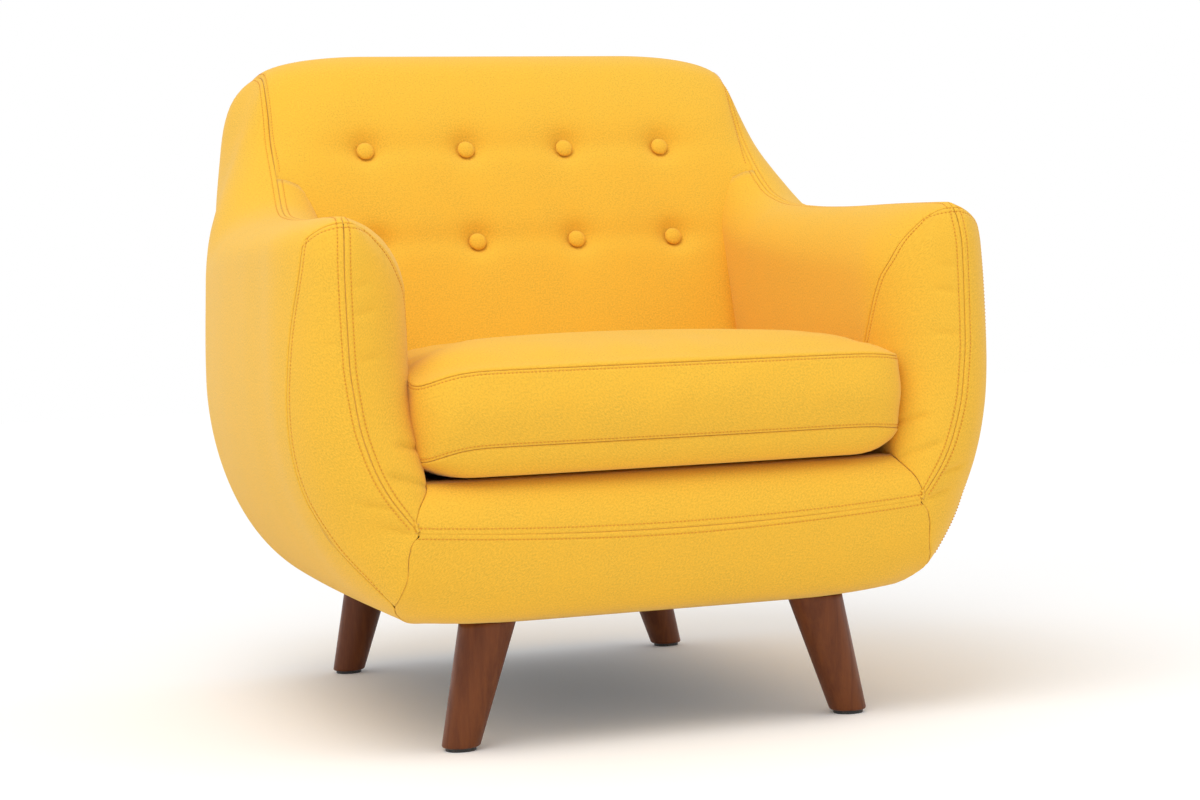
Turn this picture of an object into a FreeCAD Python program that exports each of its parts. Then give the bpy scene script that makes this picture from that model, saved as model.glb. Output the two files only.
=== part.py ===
"""Button-back upholstered armchair on four splayed turned legs.

Frame of the model: millimetres, +Z up, the sitter faces -Y, +X is to the viewer's right when the
chair is seen from the front.  The origin is on the floor under the middle of the chair.

The chair is built as it is on the bench: a seat frame of rails with leg blocks, plywood side panels
with ribs that give the arms their round section, zigzag springs under the seat, webbing behind the
back, foam over the frame, sewn covers over the foam, tied buttons, and a loose seat cushion.
"""
import FreeCAD, Part
import math
import os

Vector = FreeCAD.Vector

# ---------------------------------------------------------------- driving sizes, millimetres, degrees
SEAT_WIDTH = 568.0          # clear width between the two arms
ARM_WIDTH = 171.0           # arm, inner face to its widest outer point
BODY_DEPTH = 835.0          # front of the arm ridge to the outside back
BACK_HEIGHT = 872.0         # floor to the top of the back
ARM_HEIGHT = 607.0          # floor to the arm at its front tip
ARM_RISE = 4.6              # slope of the arm top towards the back, degrees
UNDERSIDE = 147.0           # floor to the underside of the body
RIDGE_IN = 84.0             # arm inner face to the seam ridge down the middle of its front
NOSE_LENGTH = 108.0         # depth over which the arm front narrows to the ridge
BORDER_END = 16.0           # front border past the arm inner face, where the ridge meets it
SHOULDER_HEIGHT = 650.0     # floor to the line where the back widens over the arms
RAKE = 18.7                 # recline of the inside back, degrees from vertical
BACK_DEPTH = 217.0          # inside back to outside back, level with the upper buttons
BACK_FOAM = 84.0            # thickness of the inside back foam, square to its face
BACK_TOP_WIDTH = 744.0      # width of the back at its top corners
BACK_ROLL = 72.0            # radius of the roll over the top of the back

SOFT_CHORDS = 4             # straight chords that stand for one arc of a soft form
SMALL_SIDES = 16            # flat sides of a small turned piece
LEG_SIDES = 40              # flat sides that stand for a leg's round section

COVER = 2.5                 # cover cloth with its lining
FOAM = 20.0                 # foam wrap on arms, sides and back
BORDER_FOAM = 35.5          # foam on the front of the seat frame

RAIL_THICKNESS = 25.0
RAIL_HEIGHT = 104.0
PLYWOOD = 18.0
LIGHTENING_HOLE = 176.0     # diameter of the holes in the arm panels
RIB_COUNT = 3
BOARD_THICKNESS = 18.0
TOP_BOARD_WIDTH = 92.0
BLOCK_HEIGHT = 46.0
BLOCK_MARGIN = 10.0         # timber of a leg block past the edge of its leg

WIRE = 3.6                  # spring wire
SPRING_COUNT = 5
SPRING_PITCH = 108.0        # between neighbouring springs
SPRING_WIDTH = 46.0
SPRING_STEP = 34.0          # one cross-run to the next
CLIP_WALL = 1.5
CLIP_WIDTH = 15.0
CLIP_LENGTH = 18.0
DECK_FOAM = 33.0
DECK_CLOTH = 1.5
DUST_CLOTH = 1.5

WEB_WIDTH = 50.0
WEB_THICKNESS = 2.0
BUTTON_COLUMNS = 4
BUTTON_ROWS = 2
BUTTON_SPACING_X = 142.0
BUTTON_SPACING_Z = 130.0
TOP_BUTTON_DOWN = 135.0     # top of the back down to the upper buttons
BUTTON_DIAMETER = 25.0
BUTTON_DOME = 6.0
BUTTON_RIM = 3.0
TUFT_DEPTH = 19.0
TUFT_MOUTH = 66.0
TUFT_SIDES = 8
TWINE = 3.0
TOGGLE_LENGTH = 22.0

CUSHION_SIDE_GAP = 3.0
CUSHION_BACK_GAP = 9.0
CUSHION_LIFT_GAP = 0.5      # cushion bottom to the deck cloth
CUSHION_CORE_HEIGHT = 112.0  # at the sides of the cushion
CUSHION_CROWN = 32.0        # further height at the middle
CUSHION_OVERHANG = 17.0     # cushion front past the arm ridge
CUSHION_FLARE = 15.0        # cushion corners spread past its sides in front of the arms
CUSHION_BOW = 9.0
CUSHION_COVER = 2.0
CUSHION_CORNER = 34.0

ZIP_LENGTH = 470.0
ZIP_TAPE_WIDTH = 26.0
ZIP_TAPE = 1.0
ZIP_CHAIN_WIDTH = 5.0
ZIP_CHAIN = 1.6
SLIDER_LENGTH = 11.0
SLIDER_WALL = 1.2
SLIDER_CLEARANCE = 0.3
PULL_LENGTH = 22.0
PULL_WIDTH = 6.0

FOOT_SPREAD_X = 485.0       # between the centres of the left and right feet
FRONT_FOOT_BACK = 96.0      # arm ridge to the centres of the front feet
REAR_FOOT_IN = 64.0         # outside back to the centres of the rear feet
LEG_SPLAY = 15.0            # degrees, sideways only
FOOT_DIAMETER = 42.6
LEG_TAPER = 0.075           # growth of the radius per millimetre of height
LEG_EDGE = 2.5
GLIDE_HEIGHT = 4.0
GLIDE_DIAMETER = 36.0
GLIDE_PIN = 4.0
GLIDE_PIN_DEPTH = 14.0
BOLT = 8.0
BOLT_IN_LEG = 42.0
BOLT_IN_BLOCK = 30.0
PLATE = 2.5
PLATE_SIDE = 62.0
PLATE_CORNER = 8.0

# ---------------------------------------------------------------- places that follow from the sizes
INNER_X = SEAT_WIDTH / 2
OUTER_X = INNER_X + ARM_WIDTH
RIDGE_X = INNER_X + RIDGE_IN
DEPTH = BODY_DEPTH + CUSHION_OVERHANG
FRONT_Y = -DEPTH / 2 + CUSHION_OVERHANG
REAR_Y = DEPTH / 2
TOP_BUTTON_HEIGHT = BACK_HEIGHT - TOP_BUTTON_DOWN
PANEL_X = INNER_X + COVER + FOAM            # outer face of the seat frame, inner face of the panels
RAIL_BOTTOM = UNDERSIDE + COVER + FOAM
RAIL_TOP = RAIL_BOTTOM + RAIL_HEIGHT
FRONT_RAIL_Y = FRONT_Y + COVER + BORDER_FOAM
REAR_RAIL_Y = REAR_Y - COVER - RAIL_THICKNESS
SIDE_RAIL_X = PANEL_X - RAIL_THICKNESS
SPRING_Z = RAIL_TOP + CLIP_WALL
DECK_BOTTOM = SPRING_Z + WIRE + CLIP_WALL
DECK_TOP = DECK_BOTTOM + DECK_FOAM + DECK_CLOTH
RAKE_RUN = math.tan(math.radians(RAKE))
RAKE_COS = math.cos(math.radians(RAKE))
RISE_RUN = math.tan(math.radians(ARM_RISE))
SPLAY_RUN = math.tan(math.radians(LEG_SPLAY))
WEB_OFFSET = (COVER + BACK_FOAM) / RAKE_COS
DUST_TOP = UNDERSIDE + DUST_CLOTH
REACH = 2000.0                              # longer than the chair, for cutting slabs


def back_face_y(z, depth=0.0):
    """The inside back at height z, moved back by depth measured square to it."""
    return REAR_Y - BACK_DEPTH + (z - TOP_BUTTON_HEIGHT) * RAKE_RUN + depth / RAKE_COS


# ---------------------------------------------------------------- small building tools
def box(x0, x1, y0, y1, z0, z1):
    return Part.makeBox(x1 - x0, y1 - y0, z1 - z0, Vector(x0, y0, z0))


def arc(start, middle, end):
    return Part.Arc(start, middle, end).toShape()


def line(start, end):
    return Part.makeLine(start, end)


def chord_points(start, middle, end):
    """Points along the arc through three points, the last one left out."""
    return arc(start, middle, end).discretize(SOFT_CHORDS + 1)[:-1]


def chords(start, middle, end):
    """An arc as straight chords, so that the soft forms keep flat faces."""
    points = chord_points(start, middle, end) + [end]
    return [line(a, b) for a, b in zip(points, points[1:])]


def prism(edges, sweep):
    """A closed flat outline carried along a vector."""
    return Part.Face(Part.Wire(Part.__sortEdges__(edges))).extrude(sweep)


def polygon_prism(points, sweep):
    return Part.Face(Part.makePolygon(points + [points[0]])).extrude(sweep)


def profile_x(points, x0, x1):
    """A polygon in the YZ plane carried from x0 to x1."""
    return polygon_prism([Vector(x0, y, z) for y, z in points], Vector(x1 - x0, 0, 0))


def faceted_loft(outlines):
    """A solid through a stack of outlines with the same number of corners, every face flat."""
    faces = [Part.Face(Part.makePolygon(ring + ring[:1])) for ring in (outlines[0], outlines[-1])]
    for low, high in zip(outlines, outlines[1:]):
        for i in range(len(low)):
            faces.append(Part.Face(Part.makePolygon([low[i - 1], low[i], high[i], low[i - 1]])))
            faces.append(Part.Face(Part.makePolygon([low[i - 1], high[i], high[i - 1], low[i - 1]])))
    shell = Part.Shell(faces)
    shell.sewShape()
    solid = Part.Solid(shell).removeSplitter()
    return solid if solid.Volume > 0 else solid.reversed()


def turned(sections, sides):
    """A turned piece along +Z with flat sides, from (height, radius) pairs."""
    turns = [2 * math.pi * i / sides for i in range(sides)]
    return faceted_loft([[Vector(r * math.cos(a), r * math.sin(a), z) for a in turns] for z, r in sections])


def mirrored(shape):
    return shape.mirror(Vector(0, 0, 0), Vector(1, 0, 0))


def cut_all(shape, tools):
    for tool in tools:
        shape = shape.cut(tool)
    return shape


def on_back(shape, x, z):
    """Places a shape made along +Z on the inside back, its +Z pointing out of the face."""
    placed = shape.copy()
    placed.rotate(Vector(0, 0, 0), Vector(1, 0, 0), 90 - RAKE)
    placed.translate(Vector(x, back_face_y(z), z))
    return placed


# ---------------------------------------------------------------- outer forms of the soft pieces
def plan_outline(inset, ridge_x, z):
    """Right half of the plan: inner face, nose with its ridge, bowed outer side and round rear corner."""
    inner = INNER_X + inset
    outer = OUTER_X - inset
    ridge = Vector(ridge_x, FRONT_Y + inset, z)
    nose_y = FRONT_Y + NOSE_LENGTH
    shoulder_y = REAR_Y - 0.18 * BODY_DEPTH
    rear = REAR_Y - inset
    nose_in = Vector(inner, nose_y, z)
    nose_out = Vector(outer - 0.15 * ARM_WIDTH, nose_y - 0.2 * NOSE_LENGTH, z)
    shoulder = Vector(outer - 0.13 * ARM_WIDTH, shoulder_y, z)
    corner = Vector(OUTER_X - 0.62 * ARM_WIDTH, rear, z)
    fullness_in = (ridge.x - inner) / RIDGE_IN
    half_in = (ridge + nose_in) * 0.5 + Vector(-0.13, -0.13, 0) * NOSE_LENGTH * fullness_in
    half_out = (ridge + nose_out) * 0.5 + Vector(0.12, -0.10, 0) * NOSE_LENGTH
    bow = Vector(outer, (nose_out.y + shoulder.y) / 2, z)
    round_corner = (shoulder + corner) * 0.5 + Vector(0.20, 0.13, 0) * ARM_WIDTH
    nose = chord_points(nose_in, half_in, ridge) + chord_points(ridge, half_out, nose_out)
    side = chord_points(nose_out, bow, shoulder) + chord_points(shoulder, round_corner, corner)
    return [Vector(inner, rear, z)] + nose + side + [corner]


def body_plan(inset):
    """The plan of the upper body carried straight up."""
    return polygon_prism(plan_outline(inset, RIDGE_X, 0), Vector(0, 0, BACK_HEIGHT))


def arm_body(inset):
    """The plan carried up, with the ridge swinging out from the end of the front border to its full place."""
    border_end = INNER_X + BORDER_END
    levels = [
        (border_end, UNDERSIDE),
        (border_end, RAIL_BOTTOM + 0.75 * RAIL_HEIGHT),
        (border_end + 0.78 * (RIDGE_X - border_end), DECK_TOP + 0.12 * ARM_WIDTH),
        (RIDGE_X, DECK_TOP + 0.75 * ARM_WIDTH),
        (RIDGE_X, SHOULDER_HEIGHT + 0.1 * ARM_WIDTH),
    ]
    return faceted_loft([plan_outline(inset, x, z) for x, z in levels])


def arm_underside(inset):
    """Front outline of the arm below its top: flat under the frame, then a deep round to the side."""
    inner = INNER_X + inset
    outer = OUTER_X - inset
    bottom = UNDERSIDE + inset
    top = SHOULDER_HEIGHT - inset
    y = FRONT_Y - NOSE_LENGTH
    flat_end = Vector(inner + 0.1 * ARM_WIDTH, y, bottom)
    widest = Vector(outer, y, bottom + 0.53 * (ARM_HEIGHT - UNDERSIDE))
    low_side = Vector(outer - 0.30 * ARM_WIDTH, y, bottom + 0.17 * (ARM_HEIGHT - UNDERSIDE))
    high_side = Vector(outer - 0.09 * ARM_WIDTH, y, top)
    upper_side = Vector(outer - 0.025 * ARM_WIDTH, y, (widest.z + top) / 2)
    edges = [
        line(Vector(inner, y, bottom), flat_end),
        *chords(flat_end, low_side, widest),
        *chords(widest, upper_side, high_side),
        line(high_side, Vector(inner, y, top)),
        line(Vector(inner, y, top), Vector(inner, y, bottom)),
    ]
    return prism(edges, Vector(0, REACH, 0))


def arm_top(inset):
    """The rounded top of the arm, carried back along its gentle rise."""
    inner = INNER_X + inset
    outer = OUTER_X - inset
    top = ARM_HEIGHT - inset
    y = FRONT_Y
    low = UNDERSIDE - REACH * RISE_RUN
    shoulder_in = Vector(inner, y, top - 0.28 * ARM_WIDTH)
    round_in = Vector(inner + 0.08 * ARM_WIDTH, y, top - 0.10 * ARM_WIDTH)
    top_in = Vector(inner + 0.30 * ARM_WIDTH, y, top - 0.01 * ARM_WIDTH)
    crest = Vector(RIDGE_X, y, top)
    top_out = Vector(outer - 0.30 * ARM_WIDTH, y, top - 0.02 * ARM_WIDTH)
    round_out = Vector(outer - 0.09 * ARM_WIDTH, y, top - 0.12 * ARM_WIDTH)
    shoulder_out = Vector(outer, y, top - 0.36 * ARM_WIDTH)
    edges = [
        *chords(shoulder_in, round_in, top_in),
        *chords(top_in, crest, top_out),
        *chords(top_out, round_out, shoulder_out),
        line(shoulder_out, Vector(outer, y, low)),
        line(Vector(outer, y, low), Vector(inner, y, low)),
        line(Vector(inner, y, low), shoulder_in),
    ]
    return prism(edges, Vector(0, REACH, REACH * RISE_RUN))


def arm_form(inset):
    """The right arm as a solid, every face moved in by inset."""
    form = arm_body(inset).common(arm_underside(inset)).common(arm_top(inset))
    return form.cut(front_roll_under(inset))


def front_roll_under(inset):
    """What the rolled lower front edge of the body leaves away."""
    bottom = UNDERSIDE + inset
    front = FRONT_Y + inset
    roll = 0.18 * (ARM_HEIGHT - UNDERSIDE)
    start = Vector(-REACH, front - NOSE_LENGTH, bottom - NOSE_LENGTH)
    front_end = Vector(-REACH, front, bottom + roll)
    middle = Vector(-REACH, front + 0.22 * roll, bottom + 0.24 * roll)
    under_end = Vector(-REACH, front + roll, bottom)
    edges = [
        line(start, Vector(-REACH, start.y, front_end.z)),
        line(Vector(-REACH, start.y, front_end.z), front_end),
        *chords(front_end, middle, under_end),
        line(under_end, Vector(-REACH, under_end.y, start.z)),
        line(Vector(-REACH, under_end.y, start.z), start),
    ]
    return prism(edges, Vector(2 * REACH, 0, 0))


def back_side_profile(inset):
    """Side view of the back: raked inside face, roll over the top, upright outside."""
    rear = REAR_Y - inset
    top = BACK_HEIGHT - inset
    roll = BACK_ROLL
    bottom = DECK_BOTTOM + inset
    face_end_z = top - roll
    face_end = Vector(-REACH, back_face_y(face_end_z, inset), face_end_z)
    crest_y = (face_end.y + rear) / 2
    crest = Vector(-REACH, crest_y, top)
    rear_end = Vector(-REACH, rear, top - 1.25 * roll)
    middle_in = (face_end + crest) * 0.5 + Vector(0, -0.13, 0.17) * roll
    middle_out = (rear_end + crest) * 0.5 + Vector(0, 0.19, 0.16) * roll
    face_start = Vector(-REACH, back_face_y(bottom, inset), bottom)
    edges = [
        line(face_start, face_end),
        *chords(face_end, middle_in, crest),
        *chords(crest, middle_out, rear_end),
        line(rear_end, Vector(-REACH, rear, bottom)),
        line(Vector(-REACH, rear, bottom), face_start),
    ]
    return prism(edges, Vector(2 * REACH, 0, 0))


def back_outline(inset):
    """Front view of the back: narrow between the arms, wide above them, with rounded top corners."""
    narrow = INNER_X - inset
    shoulder = SHOULDER_HEIGHT + inset
    wide = OUTER_X - 0.19 * ARM_WIDTH - inset
    top_half = BACK_TOP_WIDTH / 2 - inset
    top = BACK_HEIGHT - inset
    bottom = DECK_BOTTOM + inset
    y = FRONT_Y
    corner_z = top - BACK_ROLL
    side = Vector((wide + top_half) / 2 - 2.0, y, (shoulder + corner_z) / 2)
    corner = Vector(top_half - 0.25 * BACK_ROLL, y, top - 0.36 * BACK_ROLL)
    top_end = Vector(top_half - 1.1 * BACK_ROLL, y, top - 0.09 * BACK_ROLL)
    half = [
        line(Vector(narrow, y, bottom), Vector(narrow, y, shoulder)),
        line(Vector(narrow, y, shoulder), Vector(wide, y, shoulder)),
        *chords(Vector(wide, y, shoulder), side, Vector(top_half, y, corner_z)),
        *chords(Vector(top_half, y, corner_z), corner, top_end),
    ]
    edges = half + [mirrored(edge) for edge in half]
    edges.extend(chords(top_end, Vector(0, y, top), Vector(-top_end.x, y, top_end.z)))
    edges.append(line(Vector(narrow, y, bottom), Vector(-narrow, y, bottom)))
    return prism(edges, Vector(0, REACH, 0))


def back_raked_plan(inset):
    """Plan of the back across its rake: its front corners fall away to the fuller sides."""
    z0 = DECK_BOTTOM
    front = back_face_y(z0, inset)
    edge_x = BACK_TOP_WIDTH / 2 - 0.48 * BACK_ROLL - inset
    wide = OUTER_X - inset
    full_y = front + 1.1 * BACK_ROLL
    full_x = BACK_TOP_WIDTH / 2 + 0.35 * BACK_ROLL - inset
    corner = Vector((edge_x + full_x) / 2 + 0.12 * BACK_ROLL, (front + full_y) / 2 - 0.1 * BACK_ROLL, z0)
    half = [
        *chords(Vector(edge_x, front, z0), corner, Vector(full_x, full_y, z0)),
        line(Vector(full_x, full_y, z0), Vector(wide, full_y + 2 * BACK_ROLL, z0)),
        line(Vector(wide, full_y + 2 * BACK_ROLL, z0), Vector(wide, REACH, z0)),
    ]
    edges = half + [mirrored(edge) for edge in half]
    edges.append(line(Vector(edge_x, front, z0), Vector(-edge_x, front, z0)))
    edges.append(line(Vector(wide, REACH, z0), Vector(-wide, REACH, z0)))
    return prism(edges, Vector(0, BACK_HEIGHT * RAKE_RUN, BACK_HEIGHT))


def back_form(inset):
    """The whole back as a solid, every face moved in by inset."""
    form = back_side_profile(inset).common(back_outline(inset)).common(back_raked_plan(inset))
    side = body_plan(inset)
    middle = box(-INNER_X - inset, INNER_X + inset, FRONT_Y, REAR_Y, 0, BACK_HEIGHT)
    return form.common(side.fuse([mirrored(side), middle]))


def border_form(inset):
    """The padded front of the seat frame, from the deck down and under the front rail."""
    front = FRONT_Y + inset
    bottom = UNDERSIDE + inset
    top = DECK_TOP - inset
    end = INNER_X + BORDER_END
    rail_rear = FRONT_RAIL_Y + RAIL_THICKNESS
    start = Vector(-end, FRONT_RAIL_Y, top)
    top_edge = Vector(-end, FRONT_RAIL_Y - 0.35 * BORDER_FOAM, top)
    ridge = Vector(-end, front, RAIL_TOP - 0.25 * RAIL_HEIGHT)
    upper = Vector(-end, front + 0.26 * BORDER_FOAM, (top + ridge.z) / 2 + 0.1 * BORDER_FOAM)
    under = Vector(-end, rail_rear, bottom)
    lower = Vector(-end, front + 0.42 * BORDER_FOAM, bottom + 0.24 * RAIL_HEIGHT)
    edges = [
        line(start, top_edge),
        *chords(top_edge, upper, ridge),
        *chords(ridge, lower, under),
        line(under, Vector(-end, rail_rear, RAIL_BOTTOM)),
        line(Vector(-end, rail_rear, RAIL_BOTTOM), Vector(-end, FRONT_RAIL_Y, RAIL_BOTTOM)),
        line(Vector(-end, FRONT_RAIL_Y, RAIL_BOTTOM), start),
    ]
    form = prism(edges, Vector(2 * end, 0, 0))
    arm = arm_form(0)
    return cut_all(form, [arm, mirrored(arm)])


def button_places():
    """Where the buttons sit on the inside back, as (x, z)."""
    first_x = -BUTTON_SPACING_X * (BUTTON_COLUMNS - 1) / 2
    columns = [first_x + BUTTON_SPACING_X * i for i in range(BUTTON_COLUMNS)]
    rows = [TOP_BUTTON_HEIGHT - BUTTON_SPACING_Z * i for i in range(BUTTON_ROWS)]
    return [(x, z) for z in rows for x in columns]


def tufts(inset):
    """The dimples that the buttons pull into the inside back."""
    floor = BUTTON_DIAMETER / 2 + inset + 1.0
    mouth = TUFT_MOUTH / 2 + inset
    depth = TUFT_DEPTH + inset
    slope = (mouth - floor) / TUFT_DEPTH
    dimple = turned([(-depth, floor), (2 * TUFT_DEPTH - depth, mouth + slope * TUFT_DEPTH)], TUFT_SIDES)
    return [on_back(dimple, x, z) for x, z in button_places()]


def cushion_form(inset):
    """The loose seat cushion: spread front corners, crowned top, rear parallel to the back."""
    side = INNER_X - CUSHION_SIDE_GAP - inset
    wide = side + CUSHION_FLARE
    bottom = DECK_TOP + CUSHION_LIFT_GAP + inset
    edge_top = DECK_TOP + CUSHION_LIFT_GAP + CUSHION_CORE_HEIGHT - inset
    crown_top = edge_top + CUSHION_CROWN
    front = FRONT_Y - CUSHION_OVERHANG + inset
    flare_y = FRONT_Y + NOSE_LENGTH
    corner_y = front + CUSHION_BOW + CUSHION_CORNER
    corner_x = wide - CUSHION_CORNER
    bend = CUSHION_CORNER * (1 - math.sqrt(0.5))
    half = [
        line(Vector(side, REAR_Y, 0), Vector(side, flare_y, 0)),
        line(Vector(side, flare_y, 0), Vector(wide, corner_y, 0)),
        *chords(Vector(wide, corner_y, 0), Vector(wide - bend, front + CUSHION_BOW + bend, 0),
            Vector(corner_x, front + CUSHION_BOW, 0)),
    ]
    edges = half + [mirrored(edge) for edge in half]
    edges.extend(chords(Vector(corner_x, front + CUSHION_BOW, 0), Vector(0, front, 0),
                     Vector(-corner_x, front + CUSHION_BOW, 0)))
    edges.append(line(Vector(side, REAR_Y, 0), Vector(-side, REAR_Y, 0)))
    plan = prism(edges, Vector(0, 0, BACK_HEIGHT))
    rear_low = Vector(-REACH, cushion_rear_y(bottom, inset), bottom)
    rear_high = Vector(-REACH, cushion_rear_y(edge_top, inset), edge_top)
    front_high = Vector(-REACH, front - CUSHION_BOW, edge_top + 0.2 * CUSHION_CROWN)
    middle = Vector(-REACH, (rear_high.y + front_high.y) / 2, crown_top)
    front_low = Vector(-REACH, front - CUSHION_BOW, bottom)
    side_view = prism([
        line(rear_low, rear_high),
        *chords(rear_high, middle, front_high),
        line(front_high, front_low),
        line(front_low, rear_low),
    ], Vector(2 * REACH, 0, 0))
    left_top = Vector(-wide, front - CUSHION_BOW, edge_top - 0.1 * CUSHION_CROWN)
    right_top = Vector(wide, front - CUSHION_BOW, edge_top - 0.1 * CUSHION_CROWN)
    left_low = Vector(-wide, left_top.y, bottom)
    right_low = Vector(wide, left_top.y, bottom)
    front_view = prism([
        *chords(left_top, Vector(0, left_top.y, crown_top), right_top),
        line(right_top, right_low),
        line(right_low, left_low),
        line(left_low, left_top),
    ], Vector(0, REACH, 0))
    return plan.common(side_view).common(front_view)


def cushion_rear_y(z, inset):
    return back_face_y(z, -CUSHION_BACK_GAP - inset)


# ---------------------------------------------------------------- seat frame
def front_rail():
    return box(-PANEL_X, PANEL_X, FRONT_RAIL_Y, FRONT_RAIL_Y + RAIL_THICKNESS, RAIL_BOTTOM, RAIL_TOP)


def rear_rail():
    return box(-PANEL_X, PANEL_X, REAR_RAIL_Y, REAR_RAIL_Y + RAIL_THICKNESS, RAIL_BOTTOM, RAIL_TOP)


def cross_rail():
    """Carries the rear ends of the springs, below the foot of the inside back."""
    rear = back_face_y(RAIL_TOP) + WEB_OFFSET
    return box(-SIDE_RAIL_X, SIDE_RAIL_X, rear - RAIL_THICKNESS, rear, RAIL_BOTTOM, RAIL_TOP)


def side_rail():
    return box(SIDE_RAIL_X, PANEL_X, FRONT_RAIL_Y + RAIL_THICKNESS, REAR_RAIL_Y, RAIL_BOTTOM, RAIL_TOP)


def leg_tops():
    """Centre of each leg where it meets the underside, and which way it splays."""
    x = FOOT_SPREAD_X / 2 - SPLAY_RUN * UNDERSIDE
    front = FRONT_Y + FRONT_FOOT_BACK
    rear = REAR_Y - REAR_FOOT_IN
    return {
        "front_left": (Vector(-x, front, UNDERSIDE), -1),
        "front_right": (Vector(x, front, UNDERSIDE), 1),
        "rear_left": (Vector(-x, rear, UNDERSIDE), -1),
        "rear_right": (Vector(x, rear, UNDERSIDE), 1),
    }


def leg_blocks():
    """A block in each corner of the seat frame, which takes the leg plate and its bolt."""
    reach = FOOT_DIAMETER / 2 + LEG_TAPER * UNDERSIDE + BLOCK_MARGIN
    blocks = []
    for top, side in leg_tops().values():
        inner = abs(top.x) - reach
        near = FRONT_RAIL_Y + RAIL_THICKNESS if top.y < 0 else top.y - reach
        far = top.y + reach if top.y < 0 else REAR_RAIL_Y
        block = box(inner, SIDE_RAIL_X, near, far, DUST_TOP, DUST_TOP + BLOCK_HEIGHT)
        blocks.append(block if side > 0 else mirrored(block))
    return blocks


# ---------------------------------------------------------------- arms and back frame
def arm_line_z(y, below):
    """Height of the rising arm top at y, less a depth below it."""
    return ARM_HEIGHT + (y - FRONT_Y) * RISE_RUN - below


def arm_top_board(above=0.0):
    """Board under the foam of the arm top, from the nose to the back panel; above thickens it upwards."""
    depth = COVER + FOAM
    near = FRONT_RAIL_Y + RAIL_THICKNESS
    far = back_face_y(ARM_HEIGHT - depth) + WEB_OFFSET
    low = depth + BOARD_THICKNESS
    outline = [
        (near, arm_line_z(near, low)),
        (far, arm_line_z(far, low)),
        (far, arm_line_z(far, depth) + above),
        (near, arm_line_z(near, depth) + above),
    ]
    return profile_x(outline, PANEL_X, PANEL_X + TOP_BOARD_WIDTH)


def lightening_hole(radius, y, z):
    """A round hole through a plywood side panel."""
    hole = turned([(0, radius), (PLYWOOD, radius)], LEG_SIDES // 2)
    hole.rotate(Vector(0, 0, 0), Vector(0, 1, 0), 90)
    hole.translate(Vector(PANEL_X, y, z))
    return hole


def arm_panel():
    """Plywood side of the arm, screwed to the side rail, with two round lightening holes."""
    low = COVER + FOAM + BOARD_THICKNESS
    near = FRONT_RAIL_Y + RAIL_THICKNESS
    bottom = RAIL_BOTTOM + RAIL_THICKNESS
    far_low = back_face_y(bottom) + WEB_OFFSET
    far_y = back_face_y(ARM_HEIGHT - low) + WEB_OFFSET
    outline = [
        (near, bottom),
        (far_low, bottom),
        (far_y, ARM_HEIGHT - low),
        (far_y, arm_line_z(far_y, low)),
        (near, arm_line_z(near, low)),
    ]
    panel = profile_x(outline, PANEL_X, PANEL_X + PLYWOOD)
    z = (RAIL_TOP + ARM_HEIGHT - low) / 2
    for share in (0.28, 0.70):
        y = near + share * (far_low - near)
        panel = panel.cut(lightening_hole(LIGHTENING_HOLE / 2, y, z))
    return panel


def back_panel():
    """Plywood side of the back: front edge on the rake, rear edge upright, with a lightening hole."""
    bottom = RAIL_BOTTOM + RAIL_THICKNESS
    top = BACK_HEIGHT - COVER - FOAM - 0.35 * BACK_ROLL
    rear = REAR_Y - COVER
    outline = [
        (back_face_y(bottom) + WEB_OFFSET, bottom),
        (rear, bottom),
        (rear, top - 1.1 * BACK_ROLL),
        (rear - 0.6 * BACK_ROLL, top),
        (back_face_y(top) + WEB_OFFSET, top),
    ]
    panel = profile_x(outline, PANEL_X, PANEL_X + PLYWOOD)
    middle_z = (RAIL_TOP + ARM_HEIGHT) / 2
    front = back_face_y(middle_z) + WEB_OFFSET
    return panel.cut(lightening_hole(0.3 * (rear - front), (front + rear) / 2, middle_z))


def arm_ribs(hollow, taken):
    """Plywood ribs across the arm, shaped to its round outer side."""
    first = FRONT_Y + NOSE_LENGTH
    last = REAR_Y - 0.12 * BODY_DEPTH
    ribs = []
    for i in range(RIB_COUNT):
        y = first + (last - first) * (i + 0.15) / (RIB_COUNT - 0.7)
        slab = box(PANEL_X + PLYWOOD, OUTER_X, y, y + PLYWOOD, UNDERSIDE, SHOULDER_HEIGHT)
        ribs.append(cut_all(hollow.common(slab), taken))
    return ribs


def raked_bar(z0, z1, near, far, half_width, x=0.0):
    """A bar lying in the rake of the back between two depths square to its face."""
    outline = [
        (back_face_y(z0, near), z0),
        (back_face_y(z1, near), z1),
        (back_face_y(z1, far), z1),
        (back_face_y(z0, far), z0),
    ]
    return profile_x(outline, x - half_width, x + half_width)


def lumbar_rail():
    low = DECK_BOTTOM + COVER + FOAM
    near = COVER + BACK_FOAM + WEB_THICKNESS
    return raked_bar(low, low + 2 * RAIL_THICKNESS, near, near + RAIL_THICKNESS, PANEL_X)


def back_top_rail():
    top = BACK_HEIGHT - COVER - FOAM - 0.35 * BACK_ROLL
    near = COVER + BACK_FOAM + WEB_THICKNESS
    return raked_bar(top - 2 * RAIL_THICKNESS, top, near, near + RAIL_THICKNESS, PANEL_X)


def back_webbing():
    """Upright straps behind the foam, one behind each column of buttons."""
    near = COVER + BACK_FOAM
    low = DECK_BOTTOM + COVER + FOAM
    top = BACK_HEIGHT - COVER - FOAM - 0.35 * BACK_ROLL
    columns = sorted({x for x, z in button_places()})
    return [raked_bar(low, top, near, near + WEB_THICKNESS, WEB_WIDTH / 2, x) for x in columns]


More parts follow.
